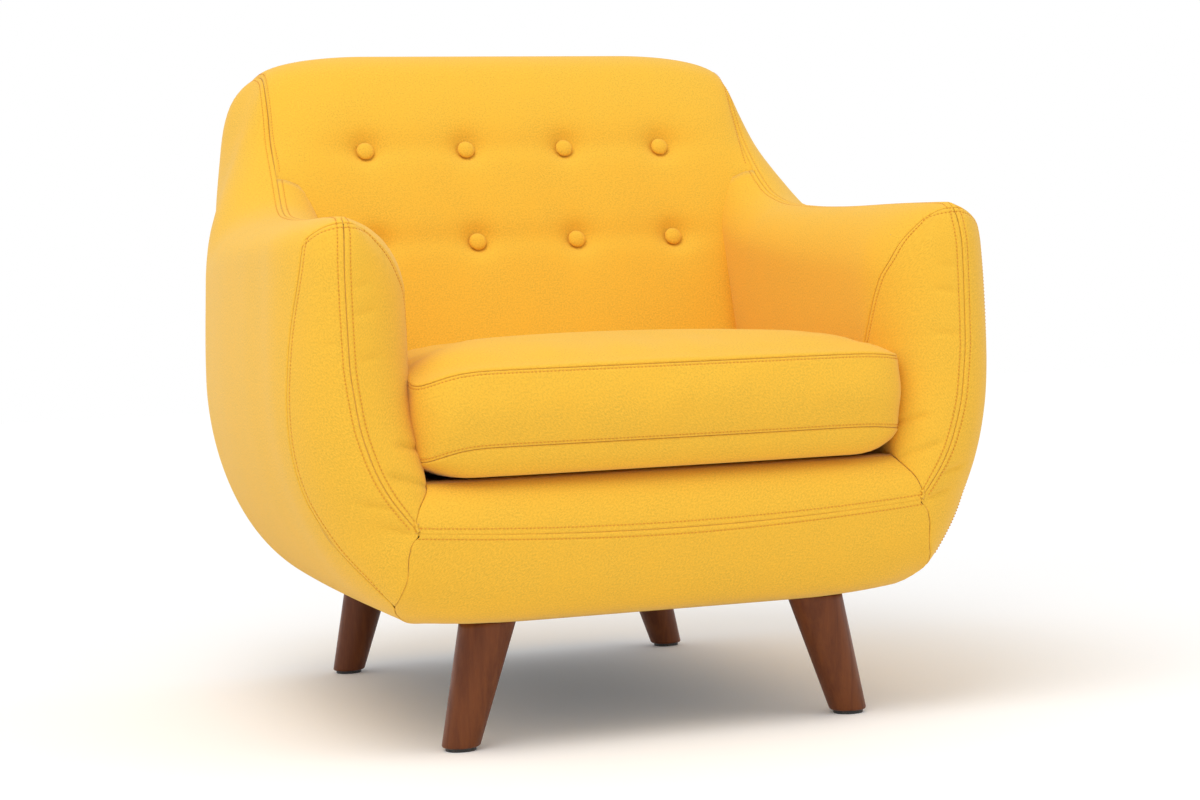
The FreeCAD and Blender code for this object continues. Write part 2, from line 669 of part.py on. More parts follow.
# ---------------------------------------------------------------- springs
def spring_span():
    """Middle of the front and rear clips."""
    front = FRONT_RAIL_Y + RAIL_THICKNESS / 2
    rear = back_face_y(RAIL_TOP) + WEB_OFFSET - RAIL_THICKNESS / 2
    return front, rear


def spring_columns():
    first = -SPRING_PITCH * (SPRING_COUNT - 1) / 2
    return [first + SPRING_PITCH * i for i in range(SPRING_COUNT)]


def zigzag_spring(x):
    """Flat zigzag of wire: cross-runs joined by half-round turns, from clip to clip."""
    front, rear = spring_span()
    runs = max(2, round((rear - front) / SPRING_STEP))
    step = (rear - front) / runs
    half = (SPRING_WIDTH - step) / 2
    z = SPRING_Z
    edges = []
    side = 1
    for i in range(runs + 1):
        y = front + step * i
        edges.append(line(Vector(x - side * half, y, z), Vector(x + side * half, y, z)))
        if i < runs:
            turn = Vector(x + side * (half + step / 2), y + step / 2, z)
            edges.extend(chords(Vector(x + side * half, y, z), turn, Vector(x + side * half, y + step, z)))
        side = -side
    path = Part.Wire(edges)
    strip = path.makeOffset2D(WIRE / 2, 2, True, True, False)
    return strip.extrude(Vector(0, 0, WIRE))


def spring_clip(x, y, way):
    """Folded clip on top of a rail, its slot open towards the middle of the seat."""
    nose = 0.3 * CLIP_LENGTH + WIRE / 2
    top = SPRING_Z + WIRE + CLIP_WALL
    half = CLIP_WIDTH / 2
    near, far = sorted((y - way * nose, y + way * 0.5 * CLIP_LENGTH))
    body = box(x - half, x + half, near, far, RAIL_TOP, top)
    slot_near, slot_far = sorted((y - way * WIRE / 2, y + way * CLIP_LENGTH))
    return body.cut(box(x - half, x + half, slot_near, slot_far, SPRING_Z, SPRING_Z + WIRE))


def spring_clips():
    front, rear = spring_span()
    clips = []
    for x in spring_columns():
        clips.append(spring_clip(x, front, 1))
        clips.append(spring_clip(x, rear, -1))
    return clips


# ---------------------------------------------------------------- buttons
def back_button(x, z):
    """Cloth-covered button: flat back, short rim and domed face, standing on the tuft's floor."""
    radius = BUTTON_DIAMETER / 2
    sections = [
        (0, radius),
        (BUTTON_RIM, radius),
        (BUTTON_RIM + 0.6 * BUTTON_DOME, 0.75 * radius),
        (BUTTON_RIM + BUTTON_DOME, 0.3 * radius),
    ]
    return on_back(turned([(z0 - TUFT_DEPTH, r) for z0, r in sections], SMALL_SIDES), x, z)


def button_tie(x, z):
    """Twine through the foam, held behind the webbing by a toggle."""
    behind = COVER + BACK_FOAM + WEB_THICKNESS
    half = TWINE / 2
    twine = box(-half, half, -half, half, -behind - TWINE, -TUFT_DEPTH)
    toggle = Part.makeBox(TOGGLE_LENGTH, 2 * TWINE, TWINE,
                          Vector(-TOGGLE_LENGTH / 2, -TWINE, -behind - TWINE))
    return on_back(twine.fuse(toggle).removeSplitter(), x, z)


# ---------------------------------------------------------------- zip of the cushion
def on_cushion_rear(shape):
    """Places a shape made along +Z on the rear of the cushion, its +Z pointing out of the face."""
    z = DECK_TOP + CUSHION_LIFT_GAP + CUSHION_CORE_HEIGHT / 2
    placed = shape.copy()
    placed.rotate(Vector(0, 0, 0), Vector(1, 0, 0), -90 - RAKE)
    placed.translate(Vector(0, cushion_rear_y(z, 0.0), z))
    return placed


def zip_tape():
    """Tape let into the cover, with its chain of teeth and a stop at each end."""
    half = ZIP_LENGTH / 2
    tape = box(-half - ZIP_CHAIN_WIDTH, half + ZIP_CHAIN_WIDTH, -ZIP_TAPE_WIDTH / 2, ZIP_TAPE_WIDTH / 2,
               -ZIP_TAPE, 0)
    chain = box(-half, half, -ZIP_CHAIN_WIDTH / 2, ZIP_CHAIN_WIDTH / 2, 0, ZIP_CHAIN)
    shape = tape.fuse(chain)
    for end in (-half, half - SLIDER_WALL):
        stop = box(end, end + SLIDER_WALL, -ZIP_CHAIN_WIDTH / 2, ZIP_CHAIN_WIDTH / 2, 0, 2 * ZIP_CHAIN)
        shape = shape.fuse(stop)
    return on_cushion_rear(shape.removeSplitter())


def zip_slider():
    """Slider astride the chain, at the closed end, with its pull hanging down."""
    end = ZIP_LENGTH / 2 - SLIDER_WALL - SLIDER_CLEARANCE
    inner = ZIP_CHAIN_WIDTH / 2 + SLIDER_CLEARANCE
    outer = inner + SLIDER_WALL
    under = ZIP_CHAIN + SLIDER_CLEARANCE
    top = under + SLIDER_WALL
    saddle = box(end - SLIDER_LENGTH, end, -outer, outer, SLIDER_CLEARANCE, top)
    saddle = saddle.cut(box(end - SLIDER_LENGTH, end, -inner, inner, 0, under))
    middle = end - SLIDER_LENGTH / 2
    pull = box(middle - PULL_WIDTH / 2, middle + PULL_WIDTH / 2, 0, PULL_LENGTH, top, top + SLIDER_WALL)
    return on_cushion_rear(saddle.fuse(pull).removeSplitter())


# ---------------------------------------------------------------- legs
def leg(top, side):
    """Round leg tapering to its foot, cut level at the floor end and at the underside."""
    stretch = 1 / math.cos(math.radians(LEG_SPLAY))
    turns = [2 * math.pi * i / LEG_SIDES for i in range(LEG_SIDES)]
    outlines = []
    for height, trim in ((GLIDE_HEIGHT, LEG_EDGE), (GLIDE_HEIGHT + LEG_EDGE, 0), (UNDERSIDE, 0)):
        radius = FOOT_DIAMETER / 2 + LEG_TAPER * height - trim
        centre = foot_centre(top, side, height)
        ring = [Vector(radius * stretch * math.cos(a), radius * math.sin(a), 0) for a in turns]
        outlines.append([centre + point for point in ring])
    return faceted_loft(outlines)


def foot_centre(top, side, height):
    return Vector(top.x + side * SPLAY_RUN * (UNDERSIDE - height), top.y, height)


def glide(top, side):
    """Nylon glide with the pin that holds it in the foot."""
    centre = foot_centre(top, side, GLIDE_HEIGHT)
    disc = turned([(0, GLIDE_DIAMETER / 2), (GLIDE_HEIGHT, GLIDE_DIAMETER / 2)], SMALL_SIDES)
    pin = turned([(0, GLIDE_PIN / 2), (GLIDE_HEIGHT + GLIDE_PIN_DEPTH, GLIDE_PIN / 2)], SMALL_SIDES // 2)
    piece = disc.fuse(pin).removeSplitter()
    piece.translate(Vector(centre.x, centre.y, 0))
    return piece


def leg_bolt(top, side):
    bolt = turned([(-BOLT_IN_LEG, BOLT / 2), (BOLT_IN_BLOCK, BOLT / 2)], SMALL_SIDES // 2)
    bolt.rotate(Vector(0, 0, 0), Vector(0, 1, 0), -side * LEG_SPLAY)
    bolt.translate(top)
    return bolt


def leg_plate(top):
    """Steel plate let into the underside of the leg block, with clipped corners."""
    half = PLATE_SIDE / 2
    plate = Part.makeBox(PLATE_SIDE, PLATE_SIDE, PLATE, Vector(top.x - half, top.y - half, DUST_TOP))
    corners = [edge for edge in plate.Edges if abs(edge.BoundBox.ZLength - PLATE) < 0.01]
    return plate.makeChamfer(PLATE_CORNER, corners)


# ---------------------------------------------------------------- assembly
def build():
    """Makes every piece; pieces that pass through one another are cut to each other here."""
    nodes = {}
    rails = {
        "front_rail": front_rail(),
        "rear_rail": rear_rail(),
        "cross_rail": cross_rail(),
        "side_rail_right": side_rail(),
    }
    rails["side_rail_left"] = mirrored(rails["side_rail_right"])
    nodes.update(rails)

    arm_wood = {"arm_panel": arm_panel(), "arm_top_board": arm_top_board(), "back_panel": back_panel()}
    for name, shape in arm_wood.items():
        nodes[name + "_right"] = shape
        nodes[name + "_left"] = mirrored(shape)
    nodes["lumbar_rail"] = lumbar_rail()
    nodes["back_top_rail"] = back_top_rail()

    arm_hollow = arm_form(COVER + FOAM)
    ribs = arm_ribs(arm_hollow, list(arm_wood.values()) + [arm_top_board(ARM_WIDTH)])
    nodes["arm_ribs_right"] = Part.makeCompound(ribs)
    nodes["arm_ribs_left"] = mirrored(nodes["arm_ribs_right"])

    timber = [shape for name, shape in nodes.items() if "ribs" not in name]

    arm_outer = arm_form(0)
    arm_inner = arm_form(COVER)
    nodes["arm_cover_right"] = cut_all(arm_outer.cut(arm_inner), timber)
    nodes["arm_foam_right"] = cut_all(arm_inner.cut(arm_hollow), timber)
    nodes["arm_cover_left"] = mirrored(nodes["arm_cover_right"])
    nodes["arm_foam_left"] = mirrored(nodes["arm_foam_right"])

    nodes["border_cover"] = cut_all(border_form(0).cut(border_form(COVER)), timber)
    nodes["border_foam"] = cut_all(border_form(COVER), timber)

    ties = [button_tie(x, z) for x, z in button_places()]
    webs = [cut_all(web, ties) for web in back_webbing()]
    outside_back = box(-INNER_X, INNER_X, REAR_Y - COVER, REAR_Y, UNDERSIDE, BACK_HEIGHT - 1.3 * BACK_ROLL)
    behind_foam = raked_bar(0, 2 * BACK_HEIGHT, COVER + BACK_FOAM, REACH, REACH)
    back_hollow = back_form(COVER + FOAM).common(behind_foam)
    back_outer = cut_all(back_form(0), tufts(0))
    back_inner = cut_all(back_form(COVER), tufts(COVER))
    nodes["back_cover"] = cut_all(back_outer.cut(back_inner), timber + ties + [outside_back])
    nodes["back_foam"] = cut_all(back_inner.cut(back_hollow), timber + ties + webs)
    nodes["outside_back"] = outside_back
    nodes["back_webbing"] = Part.makeCompound(webs)
    nodes["button_ties"] = Part.makeCompound(ties)
    nodes["back_buttons"] = Part.makeCompound([back_button(x, z) for x, z in button_places()])

    deck = box(-INNER_X, INNER_X, FRONT_RAIL_Y, REAR_Y, DECK_BOTTOM, DECK_TOP - DECK_CLOTH)
    cloth = box(-INNER_X, INNER_X, FRONT_RAIL_Y, REAR_Y, DECK_TOP - DECK_CLOTH, DECK_TOP)
    behind_face = raked_bar(0, 2 * BACK_HEIGHT, 0, REACH, REACH)
    nodes["deck_foam"] = deck.cut(behind_face)
    nodes["deck_cloth"] = cloth.cut(behind_face)
    nodes["seat_springs"] = Part.makeCompound([zigzag_spring(x) for x in spring_columns()])
    nodes["spring_clips"] = Part.makeCompound(spring_clips())

    tops = leg_tops()
    bolts = [leg_bolt(top, side) for top, side in tops.values()]
    glides = [glide(top, side) for top, side in tops.values()]
    plates = [cut_all(leg_plate(top), bolts) for top, side in tops.values()]
    blocks = [cut_all(block, bolts + plates) for block in leg_blocks()]
    for name, (top, side) in tops.items():
        nodes["leg_" + name] = cut_all(leg(top, side), bolts + glides)
    dust = box(-INNER_X, INNER_X, FRONT_RAIL_Y + RAIL_THICKNESS, REAR_Y - COVER, UNDERSIDE, DUST_TOP)
    nodes["dust_cover"] = cut_all(dust, bolts)
    nodes["leg_bolts"] = Part.makeCompound(bolts)
    nodes["leg_glides"] = Part.makeCompound(glides)
    nodes["leg_plates"] = Part.makeCompound(plates)
    nodes["leg_blocks"] = Part.makeCompound(blocks)

    tape = zip_tape()
    core = cushion_form(CUSHION_COVER)
    nodes["cushion_cover"] = cushion_form(0).cut(core).cut(tape)
    nodes["cushion_core"] = core
    nodes["zip_tape"] = tape
    nodes["zip_slider"] = zip_slider()
    return nodes


def main():
    os.makedirs("parts", exist_ok=True)
    for name, shape in build().items():
        shape.exportStep("parts/" + name + ".step")


main()
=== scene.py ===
"""Button-back upholstered armchair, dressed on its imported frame: sewn cover panels, loose seat cushion,
covered buttons, turned legs, a plain studio floor and one camera."""
import math

import bmesh
import bpy
import numpy as np
from mathutils import Matrix, Vector


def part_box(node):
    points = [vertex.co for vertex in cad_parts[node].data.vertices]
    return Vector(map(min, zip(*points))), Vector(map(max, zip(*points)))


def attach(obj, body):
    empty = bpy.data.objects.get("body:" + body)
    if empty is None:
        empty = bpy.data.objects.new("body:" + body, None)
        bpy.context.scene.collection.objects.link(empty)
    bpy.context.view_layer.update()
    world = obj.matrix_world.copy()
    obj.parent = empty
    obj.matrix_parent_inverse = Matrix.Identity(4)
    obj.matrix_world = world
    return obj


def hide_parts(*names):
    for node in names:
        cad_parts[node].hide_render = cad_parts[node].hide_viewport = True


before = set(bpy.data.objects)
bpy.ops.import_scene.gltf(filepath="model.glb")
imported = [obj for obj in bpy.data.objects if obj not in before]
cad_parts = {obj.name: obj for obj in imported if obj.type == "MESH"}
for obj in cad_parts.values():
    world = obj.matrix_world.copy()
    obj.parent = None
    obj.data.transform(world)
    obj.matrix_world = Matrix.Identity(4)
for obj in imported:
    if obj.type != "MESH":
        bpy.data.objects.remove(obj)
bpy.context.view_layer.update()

bl_info = {
    "name": "Button-back armchair",
    "version": (1, 0, 0),
    "blender": (4, 5, 0),
    "location": "3D View > Sidebar > Armchair",
    "description": "Sewn covers, cushion, buttons and legs of a button-back armchair on its packed frame",
    "category": "Object",
}

ARM_LOW, ARM_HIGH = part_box("arm_cover_right")
DECK_LOW, DECK_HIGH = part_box("deck_cloth")
DUST_LOW, DUST_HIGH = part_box("dust_cover")
TAPE_LOW, TAPE_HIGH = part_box("zip_tape")
UNDERSIDE = ARM_LOW.z
INNER = ARM_LOW.x
REAR = ARM_HIGH.y
DECK = DECK_HIGH.z
OUTER_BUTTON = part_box("back_buttons")[1].x - .0125

# The back leans by its rake; its two rows of buttons are at these heights, and its plane passes through
# the upper row at the given y.
RAKE = math.radians(18.7)
BUTTON_ROWS = (.607, .737)
UPPER_ROW_Y = .209
FACE_OUT = np.array([0.0, -math.cos(RAKE), math.sin(RAKE)])
FACE_UP = np.array([0.0, math.sin(RAKE), math.cos(RAKE)])

# Distances in from a sewn edge at which a panel has a line of points: fine in the seam and along the
# stitch row, wider on the open cloth.
SEWN = np.array([0, .0006, .0014, .0026, .0042, .0054, .0062, .0070, .0078, .0088, .0108, .0140, .0190])
PLAIN = np.array([0, .0006, .0014, .0026, .0045, .0080, .0130, .0190])
BANDED = np.array([0, .0006, .0013, .0021, .0029, .0036, .0043, .0051, .0072, .0110, .0170])
OPEN = np.array([0.0])
ROW = 0.007
BAND_ROW = 0.0036
FAR = 0.05
# How the cloth lies beside a seam: how quickly it turns in, how high and how far the allowance lifts it,
# how deep and how wide a stitch row dips, and how far round a junction the seams fade.
TURN_REACH = .0010
ALLOWANCE_LIFT, ALLOWANCE_REACH = .0008, .013
ROW_DIP, ROW_REACH = .0008, .0011
JUNCTION_REACH = .011
COVER_THICKNESS = 0.0025
BOARD_THICK = 0.018
# How far a button's rim stands out from the floor of its tuft, and the height from which the back's side
# seams show their stitches, where they come out from behind the arms.
BUTTON_PROUD = .0042
STITCHED_FROM = .703

# The seat cushion: its two seams' heights, how far the seams sink at the front left corner, its middle,
# how far above the deck it rests, the size of the cloth's squares and the frames for which it settles.
TOP_SEAM, LOW_SEAM = .4345, .3495
CORNER_SINK = .014
CUSHION_MIDDLE = np.array([0, -.17, .392])
CUSHION_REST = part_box("cushion_cover")[0].z + .0006
CLOTH_SQUARE = .007
SETTLE_FRAMES = 20

# The studio's camera: where it stands, which way it looks and which way is up, and its lens in millimetres.
CAMERA_AT = (-.8277, -2.7869, .4686)
CAMERA_AHEAD = (.2974, .9543, -.0291)
CAMERA_UP = (.0488, .0152, .9987)
CAMERA_LENS, CAMERA_SENSOR = 66.6, 36
# Lamps as name, place and side of the square, and the point that they face.
LAMPS = (("key", (-1.4, -1.6, 3.7), 2.6), ("fill", (2.8, -2.4, 1.8), 2.4))
LAMPS_FACE = (0, 0, .4)
# The floor reaches this far each way, and fades to white between the two distances from the middle.
FLOOR_HALF = 14.0
FADE_FROM, FADE_TO = .75, 2.6


# ------------------------------------------------------------------ curves and grids
def smooth(x, stops, values):
    """Curve through the stops that never overshoots: cubic between two stops, its slope at each stop the
    harmonic mean of the slopes on the two sides, or level where they differ in sign."""
    xs, ys = np.asarray(stops, float), np.asarray(values, float)
    run = np.diff(xs)
    rise = np.diff(ys) / run
    slope = np.empty_like(ys)
    both = rise[:-1] * rise[1:]
    total = np.where(np.abs(rise[:-1] + rise[1:]) < 1e-12, 1.0, rise[:-1] + rise[1:])
    slope[1:-1] = np.where(both > 0, 2 * both / total, 0)
    slope[0], slope[-1] = rise[0], rise[-1]
    x = np.clip(x, xs[0], xs[-1])
    i = np.clip(np.searchsorted(xs, x, side="right") - 1, 0, len(xs) - 2)
    t = (x - xs[i]) / run[i]
    return (ys[i] * (1 + 2 * t) * (1 - t) ** 2 + slope[i] * run[i] * t * (1 - t) ** 2
            + ys[i + 1] * t * t * (3 - 2 * t) + slope[i + 1] * run[i] * t * t * (t - 1))


def through(points, steps=12):
    """Curve through the points, Catmull-Rom: on each span a cubic whose end slopes are half the chord
    between the neighbours, with the given number of steps."""
    p = np.asarray(points, float)
    q = np.vstack([2 * p[0] - p[1], p, 2 * p[-1] - p[-2]])
    a, b, c, d = (q[k:len(q) - 3 + k, None, :] for k in range(4))
    t = np.linspace(0, 1, steps, endpoint=False)[None, :, None]
    curve = .5 * (2 * b + (c - a) * t + (2 * a - 5 * b + 4 * c - d) * t ** 2
                  + (3 * b - a - 3 * c + d) * t ** 3)
    return np.vstack([curve.reshape(-1, p.shape[1]), p[-1:]])


def step(low, high, x):
    """0 below low, 1 above high, and 3t2 - 2t3 between."""
    t = np.clip((x - low) / (high - low), 0, 1)
    return t * t * (3 - 2 * t)


def roll(t):
    """Quarter round: the height of a unit circle's quarter at t, level from 1 on."""
    return np.sqrt(1 - (1 - np.clip(t, 0, 1)) ** 2)


def run_lengths(rows):
    """Length along each row of points, from its first point."""
    gaps = np.linalg.norm(np.diff(rows, axis=1), axis=2)
    return np.concatenate([np.zeros((len(rows), 1)), np.cumsum(gaps, axis=1)], axis=1)


def both_lengths(grid):
    """Lengths along the rows and along the columns of a grid."""
    return run_lengths(grid), run_lengths(grid.transpose(1, 0, 2)).T


def at_parts(curve, parts):
    """Points of a curve at the given parts of its length."""
    run = run_lengths(curve[None])[0]
    return np.stack([np.interp(parts * run[-1], run, curve[:, k]) for k in range(curve.shape[1])], 1)


def eased(count):
    """Parts from 0 to 1, (1 - cos) / 2, close together at both ends."""
    return (1 - np.cos(np.linspace(0, math.pi, count))) / 2


def both_ways(half):
    """Parts from -1 to 1, the same on both sides: sin of an even angle from the middle."""
    side = eased(2 * half + 1)[half:] * 2 - 1
    return np.concatenate([-side[::-1], side[1:]])


def nearest(curve, point):
    """Number of the curve's point nearest to the given one."""
    return np.linalg.norm(curve - np.array(point), axis=1).argmin()


def beside(points, line):
    """The place on a line nearest to each point: its span's number, the part along that span, and how far
    away it is."""
    p, a, d = points[..., None, :], line[:-1], np.diff(line, axis=0)
    t = np.clip(((p - a) * d).sum(-1) / (d * d).sum(-1), 0, 1)
    gap = np.linalg.norm(p - a - t[..., None] * d, axis=-1)
    k = gap.argmin(-1)
    return k, np.take_along_axis(t, k[..., None], -1)[..., 0], gap.min(-1)


def joined(grids, flip=False):
    """Points and four-sided faces of several grids as one mesh, the faces turned over where flip is set."""
    faces, start = [], 0
    for g in grids:
        i = start + np.arange(g.shape[0] * g.shape[1]).reshape(g.shape[:2])
        corners = [i[:-1, :-1], i[:-1, 1:], i[1:, 1:], i[1:, :-1]]
        faces.append(np.stack(corners[:1] + corners[:0:-1] if flip else corners, 2).reshape(-1, 4))
        start += i.size
    return np.vstack([g.reshape(-1, 3) for g in grids]), np.vstack(faces)


def patch(left, right, bottom, top, rows, columns):
    """Grid inside four edges, by Coons' rule: the blend of left and right plus the blend of bottom and
    top, less the blend of the four corners. Rows run from left to right, in order from bottom to top."""
    v, u = eased(rows), eased(columns)
    left, right = at_parts(left, v)[:, None], at_parts(right, v)[:, None]
    bottom, top = at_parts(bottom, u)[None], at_parts(top, u)[None]
    v, u = v[:, None, None], u[None, :, None]
    corners = ((1 - u) * (1 - v) * bottom[:, :1] + u * (1 - v) * bottom[:, -1:]
               + (1 - u) * v * top[:, :1] + u * v * top[:, -1:])
    return (1 - u) * left + u * right + (1 - v) * bottom + v * top - corners


def spaced(rows, start, end, gap):
    """The same rows with their points at the start distances from one end, the end distances from the
    other, and evenly between, about gap apart."""
    run = run_lengths(rows)
    total = run[:, -1:]
    reach = start[-1] + end[-1]
    squeeze = np.minimum(1, .7 * total / max(reach, 1e-9)) if reach else np.ones_like(total)
    count = max(2, int(round((np.median(total) - reach) / gap)))
    even = np.linspace(0, 1, count + 1)[None, 1:-1]
    first, last = start[None] * squeeze, total - end[None, ::-1] * squeeze
    middle = first[:, -1:] + (last[:, :1] - first[:, -1:]) * even
    at = np.concatenate([first, middle, last], axis=1)
    return np.stack([np.stack([np.interp(a, r, row[:, k]) for k in range(3)], 1)
                     for a, r, row in zip(at, run, rows)])


class Panel:
    """One cut panel of cloth: a grid of points with its distances from the sewn edges.

    The edges are named left, right (first and last column), bottom and top (first and last row); each is
    SEWN for a topstitched seam, BANDED for one with its stitch row close by, PLAIN for a plain one, which
    is the usual kind, or OPEN where the cloth goes out of sight."""

    def __init__(self, grid, left=PLAIN, right=PLAIN, bottom=PLAIN, top=PLAIN, gap=.009):
        grid = spaced(grid, left, right, gap)
        grid = spaced(grid.transpose(1, 0, 2), bottom, top, gap).transpose(1, 0, 2)
        across, up = both_lengths(grid)
        from_edge = dict(left=across, right=across[:, -1:] - across, bottom=up, top=up[-1:] - up)
        kinds = dict(left=left, right=right, bottom=bottom, top=top)
        self.grid, self.kinds = grid, kinds
        self.uv = np.stack([across, up], 2)
        self.seam = np.full(grid.shape[:2], FAR)
        self.row = np.full(grid.shape[:2], FAR)
        for side, kind in kinds.items():
            if kind is not OPEN:
                self.seam = np.minimum(self.seam, from_edge[side])
            if kind is SEWN or kind is BANDED:
                at = ROW if kind is SEWN else BAND_ROW
                self.row = np.minimum(self.row, np.abs(from_edge[side] - at))

    def normals(self):
        """Unit normals of the grid, from the cross product of its two directions."""
        n = np.cross(np.gradient(self.grid, axis=1), np.gradient(self.grid, axis=0))
        return n / np.maximum(np.linalg.norm(n, axis=2, keepdims=True), 1e-12)

    def sew(self, inward, tuck):
        """Turns the edges in at their seams: a drop of tuck * exp(-d / 1 mm) along the inward directions,
        a rise of 0.8 mm * exp(-(d / 13 mm)2) beside it where the seam allowance lies under the cloth, and
        a drop of 0.8 mm * exp(-((d - 7 mm) / 1.1 mm)2) in the stitch row; 85 % less at the junctions."""
        drop = tuck * np.exp(-self.seam / TURN_REACH)
        drop = drop - ALLOWANCE_LIFT * np.exp(-(self.seam / ALLOWANCE_REACH) ** 2)
        drop = drop + ROW_DIP * np.exp(-(self.row / ROW_REACH) ** 2)
        off = np.linalg.norm(self.grid[..., 1:] - JUNCTION, axis=-1)
        drop = drop * (1 - .85 * np.exp(-(off / JUNCTION_REACH) ** 2))
        self.grid = self.grid + drop[..., None] * inward
        return self

    def mirror(self):
        """The same panel on the other side of the chair."""
        twin = object.__new__(Panel)
        twin.__dict__.update(self.__dict__)
        twin.grid = self.grid[:, ::-1] * np.array([-1, 1, 1])
        twin.uv, twin.seam, twin.row = self.uv[:, ::-1], self.seam[:, ::-1], self.row[:, ::-1]
        twin.kinds = dict(self.kinds, left=self.kinds["right"], right=self.kinds["left"])
        return twin


def sew_together(name, panels):
    """One mesh of several panels, with the weave's UV map in metres and the distances from seams and
    stitch rows as attributes."""
    uv = np.vstack([p.uv.reshape(-1, 2) for p in panels])
    seam, row = (np.concatenate([getattr(p, key).ravel() for p in panels]) for key in ("seam", "row"))
    return mesh_piece(name, *joined([p.grid for p in panels]), uv, seam=seam, row=row)


def placed(data):
    """An object for a mesh, lamp or camera, with its name, put in the scene."""
    piece = bpy.data.objects.new(data.name, data)
    bpy.context.scene.collection.objects.link(piece)
    return piece


def mesh_piece(name, points, faces, uv=None, **attributes):
    """A smooth-shaded object from arrays of points and faces, with a UV map and point attributes."""
    mesh = bpy.data.meshes.new(name)
    width = faces.shape[1]
    mesh.vertices.add(len(points))
    mesh.vertices.foreach_set("co", np.ascontiguousarray(points, np.float32).ravel())
    mesh.loops.add(faces.size)
    mesh.loops.foreach_set("vertex_index", np.ascontiguousarray(faces, np.int32).ravel())
    mesh.polygons.add(len(faces))
    mesh.polygons.foreach_set("loop_start", np.arange(0, faces.size, width, dtype=np.int32))
    mesh.polygons.foreach_set("use_smooth", np.ones(len(faces), bool))
    if uv is not None:
        layer = mesh.uv_layers.new(name="weave")
        layer.data.foreach_set("uv", np.ascontiguousarray(uv[faces.ravel()], np.float32).ravel())
    for key, values in attributes.items():
        mesh.attributes.new(key, "FLOAT", "POINT").data.foreach_set(
            "value", np.ascontiguousarray(values, np.float32))
    mesh.update(calc_edges=True)
    mesh.validate()
    return placed(mesh)


def plain_piece(name, points, faces):
    """An object from an array of points and a list of faces of any size."""
    mesh = bpy.data.meshes.new(name)
    mesh.from_pydata(points.tolist(), [], faces)
    return placed(mesh)


def points_of(mesh):
    """The points of a mesh as an array of three columns."""
    points = np.empty(len(mesh.vertices) * 3, np.float32)
    mesh.vertices.foreach_get("co", points)
    return points.reshape(-1, 3)


def thicken(piece, thickness):
    """Gives the cloth its thickness on the inside and closes its rims."""
    wall = piece.modifiers.new("cloth_thickness", "SOLIDIFY")
    wall.thickness = thickness
    wall.offset = -1
    wall.use_rim = True


def dress(piece, body, material, stands_for=()):
    """Paints the piece, ties it to its body, and hides the nodes that it stands for."""
    piece.data.materials.clear()
    piece.data.materials.append(material)
    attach(piece, body)
    if stands_for:
        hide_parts(*stands_for)
    return piece


# ------------------------------------------------------------------ the body's form
RIDGE = through([
    (-.383, .610, .366), (-.265, .616, .358), (-.145, .621, .355), (-.045, .627, .354), (.020, .633, .353),
    (.075, .640, .351), (.115, .651, .348), (.145, .665, .345), (.182, .695, .342), (.231, .745, .340),
    (.255, .788, .338), (.269, .815, .338), (.287, .834, .337), (.312, .845, .336), (.347, .848, .338),
    (.379, .837, .348), (.408, .806, .362), (.421, .778, .371), (REAR, .745, .380), (REAR, .690, .387),
    (REAR, .600, .388), (REAR, .500, .384), (REAR, .300, .362), (REAR, .200, .333),
    (REAR - .002, UNDERSIDE, .283)])
# Places seen from the side, as (y, z): where the arm's top turns up into the back, the shoulder, the top
# rear edge of the back, the seam across the arm's front, the junction of the border's ridge with the
# arm's, and the foot of the outer facing.
CROOK = (.182, .695)
SHOULDER = (.378, .828)
BACK_TOP_EDGE = (.421, .778)
CROSS_SEAM = (-.394, .6025)
JUNCTION = (-.4135, .260)
MEETING = (-.372, .177)
ARM_CORE = .34
BORDER_RIDGE = .247
RIDGE_X = .367


def front_y(z):
    """How far forward the front of the body stands at height z."""
    return smooth(z, [.147, .155, .17, .20, .25, .35, .45, .56, .585, .60, .61],
                  [-.350, -.375, -.392, -.405, -.413, -.411, -.409, -.408, -.404, -.397, -.383])


def front_x(z):
    """Half the distance between the two front ridges at height z."""
    return smooth(z, [.147, .25, .26, .275, .30, .325, .35, .375, .40, .45, .55, .61],
                  [.300, .300, .302, .313, .331, .344, .353, .360, .364, .369, .370, .367])


def half_width(y, z):
    """Half the width of the body on its outside: widest at elbow height, from there down to the underside
    foot + (widest - foot) (1 - t2)^.54, with a slight waist towards the rear, and sloping in over the
    shoulders of the back by lean times a rounded step."""
    elbow, below, foot, neck = .43, .283, .27, .625
    widest = smooth(y, [-.41, -.335, -.265, -.165, -.015, .135, .265, .365, .426],
                    [.434, .437, .441, .450, .456, .452, .438, .420, .405])
    t = np.clip((elbow - z) / below, 0, 1)
    over = z - neck
    lean = .36 * (1 - .66 * step(.28, .40, y))
    waist = (.004 * step(.45, .60, z)
             + .012 * step(.42, .56, z) * (1 - .5 * step(.58, .70, z)) * step(.15, .38, y))
    return (foot + (widest - foot) * (1 - t * t) ** .54 - waist
            - lean * (over + np.sqrt(over * over + .0012)) / 2)


def near_ridge(y, z):
    """Distance from (y, z) to the ridge seen from the side, and the ridge's x there."""
    k, t, gap = beside(np.stack(np.broadcast_arrays(y, z), -1), RIDGE[:, :2])
    return gap, RIDGE[k, 2] + (RIDGE[k + 1, 2] - RIDGE[k, 2]) * t


def edge_x(y, z):
    """The ridge's x carried inwards over the side, with its distances to the top and front ridges."""
    from_top, top_x = near_ridge(y, z)
    from_front = y - front_y(z)
    x = (RIDGE_X + (front_x(z) - RIDGE_X) * np.exp(-(from_front / .2) ** 2)
         + (top_x - RIDGE_X) * np.exp(-(from_top / .05) ** 2))
    return x, from_top, from_front


